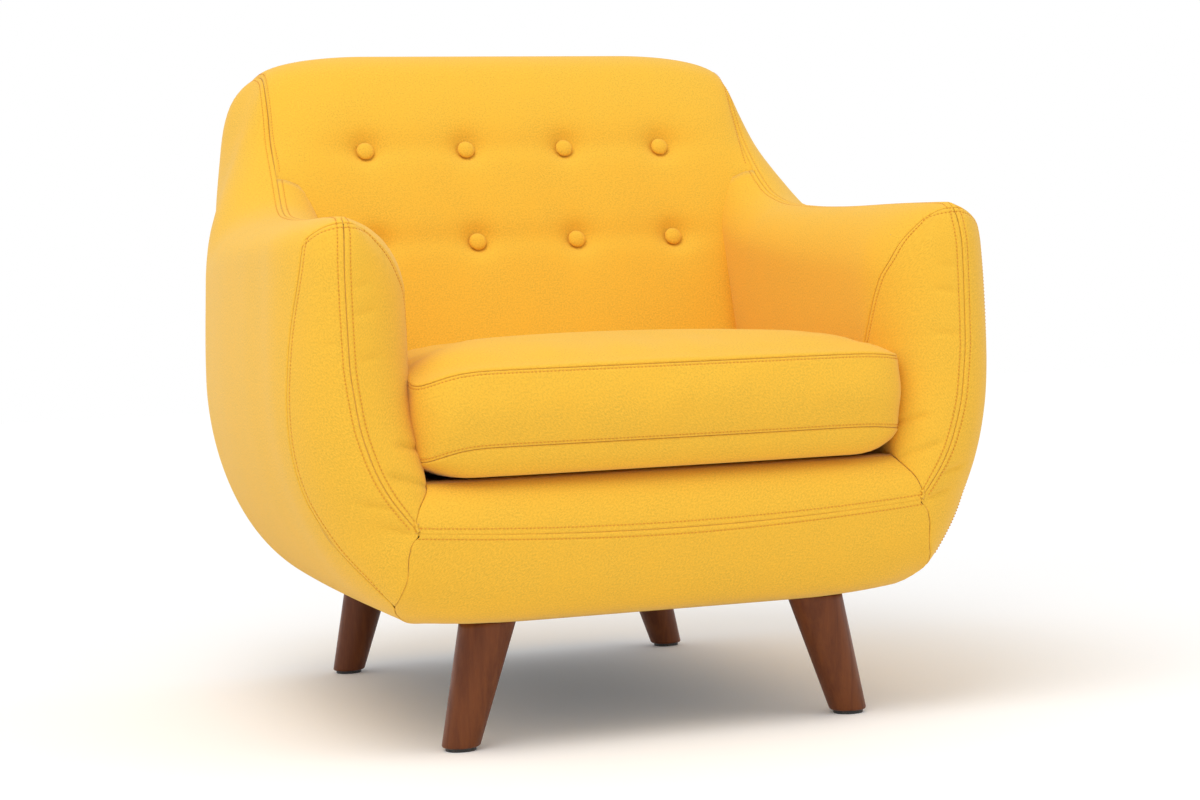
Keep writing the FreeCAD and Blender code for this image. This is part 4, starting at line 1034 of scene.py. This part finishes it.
# ------------------------------------------------------------------ operators
class ARMCHAIR_OT_stage(bpy.types.Operator):
    """Makes the floor, the soft lights and the camera"""
    bl_idname = "armchair.stage"
    bl_label = "Studio and camera"

    def execute(self, context):
        look = settings(context)["stage"]
        eye = bpy.data.cameras.new("studio_camera")
        eye.lens, eye.sensor_width = CAMERA_LENS, CAMERA_SENSOR
        camera = placed(eye)
        ahead = Vector(CAMERA_AHEAD)
        right = ahead.cross(Vector(CAMERA_UP)).normalized()
        up = right.cross(ahead.normalized())
        turn = Matrix((right, up, -ahead.normalized())).transposed()
        camera.matrix_world = Matrix.Translation(CAMERA_AT) @ turn.to_4x4()
        context.scene.camera = camera

        corners = np.array([(-1, -1, 0), (1, -1, 0), (1, 1, 0), (-1, 1, 0)]) * FLOOR_HALF
        floor = mesh_piece("studio_floor", corners, np.array([[0, 1, 2, 3]]))
        f = Finish("studio_floor", Roughness=.9, Specular_IOR_Level=.1, Emission_Color=(1, 1, 1, 1))
        tone = f.mix(f.noise(f.object(), 3, 4), shade(look.floor, .985), shade(look.floor, 1.01))
        flat = f.node("VectorMath", {0: f.object(), 1: (1, 1, 0)}, operation="MULTIPLY").outputs[0]
        away = f.node("VectorMath", {0: flat}, operation="LENGTH").outputs["Value"]
        seen, far = f.seen(), f.between(away, FADE_FROM, FADE_TO, 0, 1)
        f.put(f.math("MULTIPLY", seen, f.math("MULTIPLY_ADD", far, 1 - look.lift, look.lift)),
              "Emission Strength")
        tone = f.mix(f.math("MULTIPLY", seen, far), tone, (0, 0, 0, 1))
        floor.data.materials.append(f.finish(tone, f.noise(f.object(), 400, 2), depth=.0002, strength=.05))

        context.scene.world = bpy.data.worlds.new("studio_sky")
        sky = Nodes(context.scene.world, "Background")
        sky.shader.inputs["Color"].default_value = (1, 1, 1, 1)
        sky.put(sky.between(sky.seen(), 0, 1, look.sky, 1), "Strength")
        for name, place, size in LAMPS:
            lamp = bpy.data.lights.new(name + "_light", "AREA")
            lamp.size, lamp.energy = size, getattr(look, name)
            facing = (Vector(LAMPS_FACE) - Vector(place)).to_track_quat("-Z", "Y")
            placed(lamp).matrix_world = Matrix.Translation(place) @ facing.to_matrix().to_4x4()
        context.scene.view_settings.view_transform = "Standard"
        return {"FINISHED"}


class ARMCHAIR_OT_carcass(bpy.types.Operator):
    """Gives the timber, springs, webbing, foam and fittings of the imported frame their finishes"""
    bl_idname = "armchair.carcass"
    bl_label = "Frame finishes"

    def execute(self, context):
        look = settings(context)
        colour = tuple(look["cover"].colour)
        made = {
            "frame_timber": wood("beech_rails", (.66, .43, .24), (.50, .30, .15), gloss=.6,
                                 grain=(6, 70, 70)),
            "plywood": plywood(),
            "foam": foam(),
            "webbing": plain_cloth("jute_webbing", (.52, .38, .20), .0030),
            "steel": metal("zinc_plated_steel", (.62, .61, .58), .34, .5),
            "zip_metal": metal("nickel_zip", (.60, .58, .54), .22, .3),
            "zip_cloth": plain_cloth("zip_tape_cloth", shade(colour, (.8, .75, 1)), .0011),
            "glide_plastic": plastic(),
            "dark_wood": wood("walnut_leg", tuple(look["leg"].light), tuple(look["leg"].dark), coat=.06,
                              shine=.26),
            "deck_cloth": plain_cloth("deck_lining", shade(colour, (.86, .82, .9)), .0016),
            "dust_cloth": bonded_cloth(),
            "cover_cloth": plain_cloth("cover_lining", colour, .0022),
        }
        _finishes.update(made)
        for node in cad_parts.values():
            for place in node.material_slots:
                slot = place.material.name.split(".")[0]
                if slot not in made:
                    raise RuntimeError(f"no finish for the slot {slot} of {node.name}")
                place.material = made[slot]
        return {"FINISHED"}


class ARMCHAIR_OT_arms(bpy.types.Operator):
    """Covers both arms and the sides of the back: facings, outside and inside panels"""
    bl_idname = "armchair.arms"
    bl_label = "Arm covers"

    def execute(self, context):
        right = arm_panels(settings(context)["cover"].tuck)
        for side, panels in (("right", right), ("left", [p.mirror() for p in right])):
            upholster(context, "arm_upholstery_" + side, panels,
                      ("arm_cover_" + side, "arm_foam_" + side))
            lines = [line for p in panels for line in row_lines(p, lambda points: ~by_lower_seam(points))]
            add_stitches(context, "arm_stitching_" + side, lines, "chair")
        return {"FINISHED"}


class ARMCHAIR_OT_eased_timber(bpy.types.Operator):
    """Planes back the hidden timber that would show through thin cloth: the boards under the arm tops, the
    ribs of the arms and the lower front corners of the leg blocks and the front rail"""
    bl_idname = "armchair.eased_timber"
    bl_label = "Eased timber"

    def execute(self, context):
        for name, side in (("right", 1), ("left", -1)):
            low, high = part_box("arm_top_board_" + name)
            near, far = sorted((abs(low.x), abs(high.x)))
            slope = (high.z - low.z - BOARD_THICK) / (high.y - low.y)
            outline = np.array([(near, -BOARD_THICK), (far, -BOARD_THICK), (far, -.007), (far - .006, 0),
                                (near + .019, 0), (near, -.015)])
            y = np.linspace(low.y, high.y, 12)
            top = high.z - (high.y - y) * slope
            n = len(outline)
            z = top[:, None] + outline[None, :, 1]
            points = np.stack([np.broadcast_to(side * outline[:, 0], z.shape),
                               np.broadcast_to(y[:, None], z.shape), z], 2)
            i = np.arange(len(y) * n).reshape(len(y), n)
            nxt = np.roll(i, -1, axis=1)
            quads = np.stack([i[:-1], i[1:], nxt[1:], nxt[:-1]], 2).reshape(-1, 4).tolist()
            piece = plain_piece("arm_top_board_eased_" + name, points.reshape(-1, 3),
                                quads + [i[0].tolist(), i[-1, ::-1].tolist()])
            weld(piece)
            dress(piece, "chair", _finishes["plywood"], stands_for=("arm_top_board_" + name,))
            planed_copy("arm_ribs_" + name, "plywood", lambda p: np.column_stack(
                [np.sign(p[:, 0]) * np.minimum(np.abs(p[:, 0]), outside(p[:, 1:])[:, 0] - .006), p[:, 1:]]))
        for node in ("leg_blocks", "front_rail"):
            planed_copy(node, "frame_timber", eased_corner)
        return {"FINISHED"}


def eased_corner(p):
    """The points with those of the two lower front corners moved 30 mm in and back and 4 mm up."""
    cut, up = .030, .004
    x, y, z = p[:, :1], p[:, 1:2], p[:, 2:]
    corner = (np.abs(x) > .27) * (y < -.33) * (z < .18)
    return p + corner * np.column_stack([np.sign(x) * -cut, np.full_like(y, cut), np.full_like(z, up)])


def planed_copy(node, slot, plane):
    """A copy of a timber node, merged and with its points put through plane, in the node's place."""
    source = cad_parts[node]
    mesh = source.data.copy()
    mesh.name = node + "_eased"
    piece = placed(mesh)
    weld(piece, 1e-5)
    points = plane(points_of(mesh).astype(float))
    mesh.vertices.foreach_set("co", np.ascontiguousarray(points, np.float32).ravel())
    mesh.update()
    dress(piece, "chair", _finishes[slot], stands_for=(node,))


class ARMCHAIR_OT_border(bpy.types.Operator):
    """Covers the front border between the arms"""
    bl_idname = "armchair.border"
    bl_label = "Front border"

    def execute(self, context):
        panels = border_panels(settings(context)["cover"].tuck)
        upholster(context, "border_upholstery", panels, ("border_cover", "border_foam"))
        add_stitches(context, "border_stitching", [line for p in panels for line in row_lines(p)], "chair")
        return {"FINISHED"}


class ARMCHAIR_OT_back(bpy.types.Operator):
    """Covers the buttoned inside back and the outside back"""
    bl_idname = "armchair.back"
    bl_label = "Back covers"

    def execute(self, context):
        look = settings(context)
        tuck = look["cover"].tuck
        front = back_panel(tuck, look["back"].tuft_depth, look["back"].tuft_width)
        upholster(context, "back_upholstery", [front], ("back_cover", "back_foam"))
        upholster(context, "outside_back_panel", [outside_back_panel(tuck)], ("outside_back",))
        lines = row_lines(front, lambda points: points[:, 2] > STITCHED_FROM)
        add_stitches(context, "back_stitching", lines, "chair")
        return {"FINISHED"}


class ARMCHAIR_OT_buttons(bpy.types.Operator):
    """Sets the eight cloth-covered buttons in their tufts"""
    bl_idname = "armchair.buttons"
    bl_label = "Covered buttons"

    def execute(self, context):
        back = settings(context)["back"]
        radius, dome = back.button / 2, back.dome
        profile = through([(0.0, dome), (.35 * radius, dome * .93), (.68 * radius, dome * .66),
                           (.90 * radius, dome * .26), (radius, -.0008), (.97 * radius, -.0022),
                           (.86 * radius, -.0030), (.5 * radius, -.0032), (0.0, -.0032)], 3)
        turn = np.linspace(0, 2 * math.pi, 41)
        r, h = profile[:, 0][:, None], profile[:, 1][:, None]
        flat = np.stack([r * np.cos(turn), r * np.sin(turn)], 2)
        height = h + 0 * turn
        shape = flat[..., :1] * (1, 0, 0) + flat[..., 1:] * FACE_UP + height[..., None] * FACE_OUT
        places = button_places()
        grids = [at - FACE_OUT * (back.tuft_depth - BUTTON_PROUD) + shape for at in places]
        uv = np.vstack([flat.reshape(-1, 2) + at[0] for at in places])
        # Painted shadow: the rim's underside gets a seam distance of 0.8 mm, so the cloth paints a dark
        # ring there, the shadow in the gap between button and tuft
        rim = np.tile(np.where(height < -.0005, .0008, FAR).ravel(), len(places))
        piece = mesh_piece("covered_buttons", *joined(grids, flip=True), uv, seam=rim,
                           row=np.full(len(uv), FAR))
        weld(piece)
        dress(piece, "chair", cloth(context), stands_for=("back_buttons",))
        return {"FINISHED"}


def weld(piece, near=1e-6):
    """Merges doubled points where a grid closes on itself, and faces the surface outwards."""
    work = bmesh.new()
    work.from_mesh(piece.data)
    bmesh.ops.remove_doubles(work, verts=work.verts, dist=near)
    bmesh.ops.dissolve_degenerate(work, edges=work.edges, dist=near)
    bmesh.ops.recalc_face_normals(work, faces=work.faces)
    work.to_mesh(piece.data)
    work.free()


def cushion_outline(height, sink, inset):
    """A seam of the cushion seen from above, as three-dimensional curves for its front, right side, rear
    and left side: bowed front, corners spread in front of the arms, rear raked with the back. It drops by
    sink * exp(-(r / 40 mm)2) near the left front corner, and by a third of that near the right one."""
    front = [(0, -.4185), (.10, -.4180), (.19, -.4155), (.245, -.4110), (.272, -.4030), (.286, -.3910)]
    side = [(.286, -.3910), (.2935, -.3760), (.2945, -.3500), (.2910, -.3200), (.2850, -.2850),
            (.2812, -.2450), (.2800, -.1000), (.2790, .0300), (.2760, .0620), (.2730, .0690)]
    rear = [(.2730, .0690), (.2600, .0745), (.2000, .0752), (0, .0752)]
    front = np.vstack([np.array(front[:0:-1]) * (-1, 1), front])
    rear = np.vstack([rear, np.array(rear[-2::-1]) * (-1, 1)])
    parts = [front, np.array(side), rear, np.array(side)[::-1] * (-1, 1)]
    loop = np.vstack([p[:-1] for p in parts])
    steps = 14
    loop = through(np.vstack([loop[-2:], loop, loop[:3]]), steps)[2 * steps:-2 * steps]
    ends = np.cumsum([0] + [steps * (len(p) - 1) for p in parts])

    def raise_up(xy):
        xy = xy + (CUSHION_MIDDLE[:2] - xy) * inset / .28
        part = np.where(xy[:, 0] < 0, 1, .35)
        away = (np.abs(xy[:, 0]) - .292) ** 2 + (xy[:, 1] + .385) ** 2
        z = height - sink * part * np.exp(-away / .040 ** 2)
        y = xy[:, 1] + (z - .371) * math.tan(RAKE) * step(-.02, .06, xy[:, 1])
        return np.stack([xy[:, 0], y, z], 1)

    return [raise_up(loop[a:b + 1]) for a, b in zip(ends[:-1], ends[1:])]


def cushion_panels(crown, bulge):
    """Top, band and bottom of the cushion. The top rises by crown times a product of two domes, each part
    a quarter round at the edge and part almost a parabola; the band swells out by bulge times a sine; the
    bottom rounds down on to the deck, more gently at its corners."""
    rows, columns, dome_edge = 110, 130, .24
    top_seam = cushion_outline(TOP_SEAM, CORNER_SINK, 0)
    low_seam = cushion_outline(LOW_SEAM, CORNER_SINK, .002)
    top, low = (patch(left[::-1], right, front, rear[::-1], rows, columns)
                for front, right, rear, left in (top_seam, low_seam))
    q_v = np.abs(2 * eased(rows) - 1)[:, None]
    q_u = np.abs(2 * eased(columns) - 1)[None]
    dome = lambda q: .50 * roll((1 - q) / dome_edge) + .50 * (1 - q ** 2.2)
    top[..., 2] += crown * dome(q_u) * dome(q_v)
    wide = .10 + .13 * np.exp(-((1 - q_v) / .45) ** 2)
    flat = roll((1 - q_u) / wide) * roll((1 - q_v) / .11) * roll(np.hypot(1 - q_u, 1 - q_v) / .26)
    low[..., 2] = CUSHION_REST + (low[..., 2] - CUSHION_REST) * (1 - flat)
    h = len(top_seam[2]) // 2
    band_top, band_low = (np.vstack([rear[h:], left[1:], front[1:], right[1:], rear[1:h + 1]])
                          for front, right, rear, left in (top_seam, low_seam))
    parts = np.linspace(0, 1, 560)
    a, b = at_parts(band_low, parts), at_parts(band_top, parts)
    a[-1], b[-1] = a[0], b[0]
    ahead = np.gradient((a + b) / 2, axis=0)
    ahead[0] = ahead[-1] = ahead[0] + ahead[-1]
    out = np.stack([ahead[:, 1], -ahead[:, 0], 0 * parts], 1)
    out /= np.linalg.norm(out, axis=1, keepdims=True)
    swell = bulge * np.clip(-out[:, 1], 0, 1) ** 1.5 + .0016 * np.abs(out[:, 0])
    t = eased(40)[:, None, None]
    band = (1 - t) * a + t * b + (np.sin(math.pi * t) ** .8) * (swell[:, None] * out)
    return top, band, low


def under_tape(grid):
    """The band with its rear kept under the zip tape: y is at most the tape's slanting middle plane, and
    past the tape's edges that plane plus slope times the distance from them."""
    x, y, z = np.moveaxis(grid, -1, 0)
    tape_thick, slope = .0010, .5
    up = (z - TAPE_LOW.z) / (TAPE_HIGH.z - TAPE_LOW.z)
    plane = TAPE_LOW.y + .0004 + up * (TAPE_HIGH.y - TAPE_LOW.y - tape_thick)
    past = np.maximum(np.abs(x) - TAPE_HIGH.x, 0)
    past = past + np.maximum(np.maximum(TAPE_LOW.z - z, z - TAPE_HIGH.z), 0)
    return np.stack([x, np.where(y > 0, np.minimum(y, plane + slope * past), y), z], -1)


def stuffed(grids, seams, pressure, spare, limit):
    """What the stuffing does to the cushion. A closed copy of the grids is remeshed to even squares, held
    at its seams and blown up as slightly roomy cloth. Each grid point then goes the mean way of the copy's
    points round it, weighted by exp(-r2 / 2 close2), less three quarters of the mean way over the wide
    reach, so that the swelling stays small and the folds are kept, never further than the limit, and
    nothing at the seams."""
    close, wide = .009, .045
    third = lambda count: np.unique(np.r_[0:count:3, count - 1])
    thin = [g[third(g.shape[0])][:, third(g.shape[1])] for g in grids]
    shell = mesh_piece("cushion_copy", *joined(thin))
    even = shell.modifiers.new("even", "REMESH")
    even.mode, even.voxel_size = "VOXEL", CLOTH_SQUARE
    scene = bpy.context.scene
    scene.frame_set(1)
    mesh = bpy.data.meshes.new_from_object(shell.evaluated_get(bpy.context.evaluated_depsgraph_get()))
    bag = placed(mesh)
    bpy.data.objects.remove(shell)
    rest = points_of(mesh)
    line = np.vstack(seams).astype(np.float32)[::4]
    gap = np.min([np.linalg.norm(rest - p, axis=1) for p in line], axis=0)
    held = bag.vertex_groups.new(name="held")
    for reach, hold in ((2 * CLOTH_SQUARE, .35), (CLOTH_SQUARE, 1.0)):
        held.add(np.flatnonzero(gap < reach).tolist(), hold, "REPLACE")
    filling = bag.modifiers.new("filling", "CLOTH")
    rules = filling.settings
    rules.quality, rules.mass = 5, .3
    rules.tension_stiffness = rules.compression_stiffness = 15
    rules.shear_stiffness, rules.bending_stiffness = 6, .3
    rules.use_pressure, rules.uniform_pressure_force = True, pressure
    rules.vertex_group_mass, rules.shrink_min = "held", -spare
    rules.effector_weights.gravity = 0
    filling.point_cache.frame_start, filling.point_cache.frame_end = 1, SETTLE_FRAMES
    for frame_number in range(1, SETTLE_FRAMES + 1):
        scene.frame_set(frame_number)
    moved = points_of(bag.evaluated_get(bpy.context.evaluated_depsgraph_get()).to_mesh()) - rest
    scene.frame_set(1)
    bpy.data.objects.remove(bag)

    def mean_way(where, from_points, ways, reach):
        parts = []
        for some in np.array_split(where, max(1, len(where) // 400)):
            r2 = ((some[:, None] - from_points[None]) ** 2).sum(2)
            w = np.exp(-r2 / (2 * reach ** 2)) + 1e-12
            parts.append(w @ ways / w.sum(1, keepdims=True))
        return np.vstack(parts)

    def filled_in(ways, known, count):
        columns = ways.reshape(len(known), -1).T
        return np.stack([np.interp(np.arange(count), known, c) for c in columns], 1).reshape(count, -1, 3)

    made = []
    for g in grids:
        m, n = g.shape[:2]
        some_m, some_n = (np.unique(np.linspace(0, k - 1, max(8, k // 3)).astype(int)) for k in (m, n))
        small = g[some_m][:, some_n]
        p = small.reshape(-1, 3).astype(np.float32)
        way = mean_way(p, rest, moved, close) - .75 * mean_way(p, rest[::9], moved[::9], wide)
        way *= np.minimum(1, limit / np.maximum(np.linalg.norm(way, axis=1, keepdims=True), 1e-9))
        way = filled_in(filled_in(way.reshape(small.shape), some_m, m).transpose(1, 0, 2), some_n, n)
        way = way.transpose(1, 0, 2)
        across, up = both_lengths(g)
        edge = np.minimum(up, up[-1:] - up)
        if np.abs(g[:, 0] - g[:, -1]).max() > 1e-6:
            edge = np.minimum(edge, np.minimum(across, across[:, -1:] - across))
        made.append(g + way * step(0, .016, edge)[..., None])
    return made


class ARMCHAIR_OT_cushion(bpy.types.Operator):
    """Makes the loose seat cushion: top, band and bottom, sewn with a row of stitches beside each seam"""
    bl_idname = "armchair.cushion"
    bl_label = "Seat cushion"

    def execute(self, context):
        look = settings(context)
        top, band, low = cushion_panels(look["cushion"].crown, look["cushion"].bulge)
        seams = [edge for g in (top, low) for edge in (g[0], g[-1], g[:, 0], g[:, -1])]
        top, band = stuffed([top, band, low], seams, look["cushion"].filling, look["cushion"].spare,
                            look["cushion"].swell)[:2]
        panels = [Panel(top, gap=.008),
                  Panel(band, left=OPEN, right=OPEN, bottom=BANDED, top=BANDED, gap=.008),
                  Panel(low[:, ::-1], gap=.012)]
        for p in panels:
            way = CUSHION_MIDDLE - p.grid
            way[..., :2] *= .35
            p.sew(way / np.linalg.norm(way, axis=-1, keepdims=True), look["cover"].tuck)
        panels[1].grid = under_tape(panels[1].grid)
        upholster(context, "seat_cushion_cover", panels, ("cushion_cover", "cushion_core"),
                  body="seat_cushion", thickness=.002)
        add_stitches(context, "cushion_stitching", row_lines(panels[1]), "seat_cushion")
        return {"FINISHED"}


class ARMCHAIR_OT_deck(bpy.types.Operator):
    """Makes the padded deck under the cushion"""
    bl_idname = "armchair.deck"
    bl_label = "Seat deck"

    def execute(self, context):
        x = np.linspace(DECK_LOW.x, DECK_HIGH.x, 90)
        y = np.linspace(DECK_LOW.y, DECK_HIGH.y + .03, 70)
        xx, yy = np.meshgrid(x, y)
        lining, below_top, tuck = .0015, .0016, .004
        panel = Panel(np.stack([xx, yy, np.full_like(xx, DECK - below_top)], 2), gap=.009)
        panel.sew(np.array([0, 0, -1.0]), tuck)
        piece = sew_together("seat_deck", [panel])
        thicken(piece, lining)
        dress(piece, "chair", _finishes["deck_cloth"],
              stands_for=("deck_cloth", "deck_foam"))
        return {"FINISHED"}


class ARMCHAIR_OT_turned_hem(bpy.types.Operator):
    """Turns the covers under the frame: a flat hem from their lower edge to beneath the dust cloth"""
    bl_idname = "armchair.turned_hem"
    bl_label = "Hem under the frame"

    def execute(self, context):
        front, right = border_panels(0)[0].grid[0], arm_panels(0)[1].grid[0]
        rear = outside_back_panel(0).grid[0]
        loop = [g[np.argsort(g[:, k] * way)] for g, k, way in (
            (front, 0, 1), (right, 1, 1), (rear, 0, -1), (right * (-1, 1, 1), 1, -1))]
        outer = np.vstack(loop + [loop[0][:1]])[:, :2]
        side, front_in, rear_in = .046, .040, .016
        inner = np.clip(outer, [DUST_LOW.x + side, DUST_LOW.y + front_in],
                        [DUST_HIGH.x - side, DUST_HIGH.y - rear_in])
        t = np.linspace(0, 1, 5)[:, None, None]
        flat = outer * (1 - t) + inner * t
        grid = np.concatenate([flat, np.full_like(flat[..., :1], UNDERSIDE - .0001)], 2)
        points, faces = joined([grid], flip=True)
        far = np.full(len(points), FAR)
        piece = mesh_piece("turned_hem", points, faces, points[:, :2], seam=far, row=far)
        thicken(piece, .0012)
        dress(piece, "chair", cloth(context))
        return {"FINISHED"}


class ARMCHAIR_OT_dust_cover(bpy.types.Operator):
    """Staples the dust cloth across the underside"""
    bl_idname = "armchair.dust_cover"
    bl_label = "Dust cover"

    def execute(self, context):
        side, front_in, rear_in, staples_in = .034, .028, .004, .009
        x = np.linspace(DUST_LOW.x + side, DUST_HIGH.x - side, 60)
        y = np.linspace(DUST_LOW.y + front_in, DUST_HIGH.y - rear_in, 76)
        xx, yy = np.meshgrid(x[::-1], y)
        across = np.clip(1 - (xx / .262) ** 2, 0, 1)
        along = np.clip(1 - ((yy - .04) / .355) ** 2, 0, 1)
        z = UNDERSIDE - .0004 - .0012 * across * along + .0006 * np.sin(xx * 46) * across * np.sin(yy * 31)
        piece = mesh_piece("dust_cloth_panel", *joined([np.stack([xx, yy, z], 2)]))
        thicken(piece, .0006)
        dress(piece, "chair", _finishes["dust_cloth"], stands_for=("dust_cover",))
        left, right = x[0] + staples_in, x[-1] - staples_in
        front, rear = y[0] + staples_in, y[-1] - staples_in
        ring = [(left, front), (right, front), (right, rear), (left, rear)]
        lines = []
        for a, b in zip(ring, ring[1:] + ring[:1]):
            part = np.linspace(0, 1, 200)[:, None]
            along = np.array(a) * (1 - part) + np.array(b) * part
            lines.append((np.hstack([along, np.full_like(part, UNDERSIDE - .0009)]),
                          np.tile([0.0, 0, -1], (200, 1))))
        staples = thread_piece("dust_cloth_staples", lines, .042, .011, .0013)
        dress(staples, "chair", _finishes["steel"])
        return {"FINISHED"}


class ARMCHAIR_OT_legs(bpy.types.Operator):
    """Turns the four legs: straight taper, leaning to the side, edges eased, cut level at both ends"""
    bl_idname = "armchair.legs"
    bl_label = "Legs"

    def execute(self, context):
        leg = settings(context)["leg"]
        lean, stretch = math.tan(leg.splay), 1 / math.cos(leg.splay)
        taper, edge = .075, .0028
        turn = np.linspace(0, 2 * math.pi, 73)[None]
        quarter = np.linspace(.3, 1.57, 7)
        for place in ("front_left", "front_right", "rear_left", "rear_right"):
            low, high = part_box("leg_" + place)
            side = 1 if high.x > 0 else -1
            z = np.concatenate([[low.z] * 3, low.z + edge * (1 - np.cos(quarter)),
                                np.linspace(low.z + .006, high.z - .001, 26), [high.z] * 3])
            full = leg.foot / 2 + taper * z
            r = full.copy()
            r[:3] = (0, full[0] * .6, full[0] - edge)
            r[3:10] -= edge * (1 - np.sin(quarter))
            r[-3:] = (full[-1] - .0008, full[-1] * .5, 0)
            top_x = (low.x if side > 0 else high.x) + side * full[-1] * stretch
            centre = top_x + side * lean * (high.z - z)
            x = centre[:, None] + (r * stretch)[:, None] * np.cos(turn)
            y = (low.y + high.y) / 2 + r[:, None] * np.sin(turn)
            grid = np.stack([x, y, np.broadcast_to(z[:, None], x.shape)], 2)
            piece = mesh_piece("turned_leg_" + place, *joined([grid]))
            weld(piece)
            dress(piece, "chair", _finishes["dark_wood"], stands_for=("leg_" + place,))
        return {"FINISHED"}


# ------------------------------------------------------------------ sidebar and registration
STEPS = (ARMCHAIR_OT_stage, ARMCHAIR_OT_carcass, ARMCHAIR_OT_arms, ARMCHAIR_OT_eased_timber,
         ARMCHAIR_OT_border, ARMCHAIR_OT_back, ARMCHAIR_OT_buttons, ARMCHAIR_OT_cushion, ARMCHAIR_OT_deck,
         ARMCHAIR_OT_turned_hem, ARMCHAIR_OT_dust_cover, ARMCHAIR_OT_legs)
GROUPS = dict(cover=CoverSettings, back=BackSettings, cushion=CushionSettings, leg=LegSettings,
              stage=StageSettings)


class ARMCHAIR_PT_sidebar(bpy.types.Panel):
    """Lists the armchair's sizes and colours and the steps that make it"""
    bl_idname = "ARMCHAIR_PT_sidebar"
    bl_label = "Button-back armchair"
    bl_space_type = "VIEW_3D"
    bl_region_type = "UI"
    bl_category = "Armchair"

    def draw(self, context):
        for key, group in GROUPS.items():
            box = self.layout.box()
            for name in group.__annotations__:
                box.prop(getattr(context.scene, "armchair_" + key), name)
        column = self.layout.column(align=True)
        for operator in STEPS:
            column.operator(operator.bl_idname)


def register():
    for kind in (*GROUPS.values(), *STEPS, ARMCHAIR_PT_sidebar):
        bpy.utils.register_class(kind)
    for key, group in GROUPS.items():
        setattr(bpy.types.Scene, "armchair_" + key, bpy.props.PointerProperty(type=group))


def unregister():
    for key in GROUPS:
        delattr(bpy.types.Scene, "armchair_" + key)
    for kind in reversed((*GROUPS.values(), *STEPS, ARMCHAIR_PT_sidebar)):
        bpy.utils.unregister_class(kind)


def main():
    register()
    for operator in STEPS:
        group, name = operator.bl_idname.split(".")
        getattr(getattr(bpy.ops, group), name)()


if __name__ == "__main__":
    main()
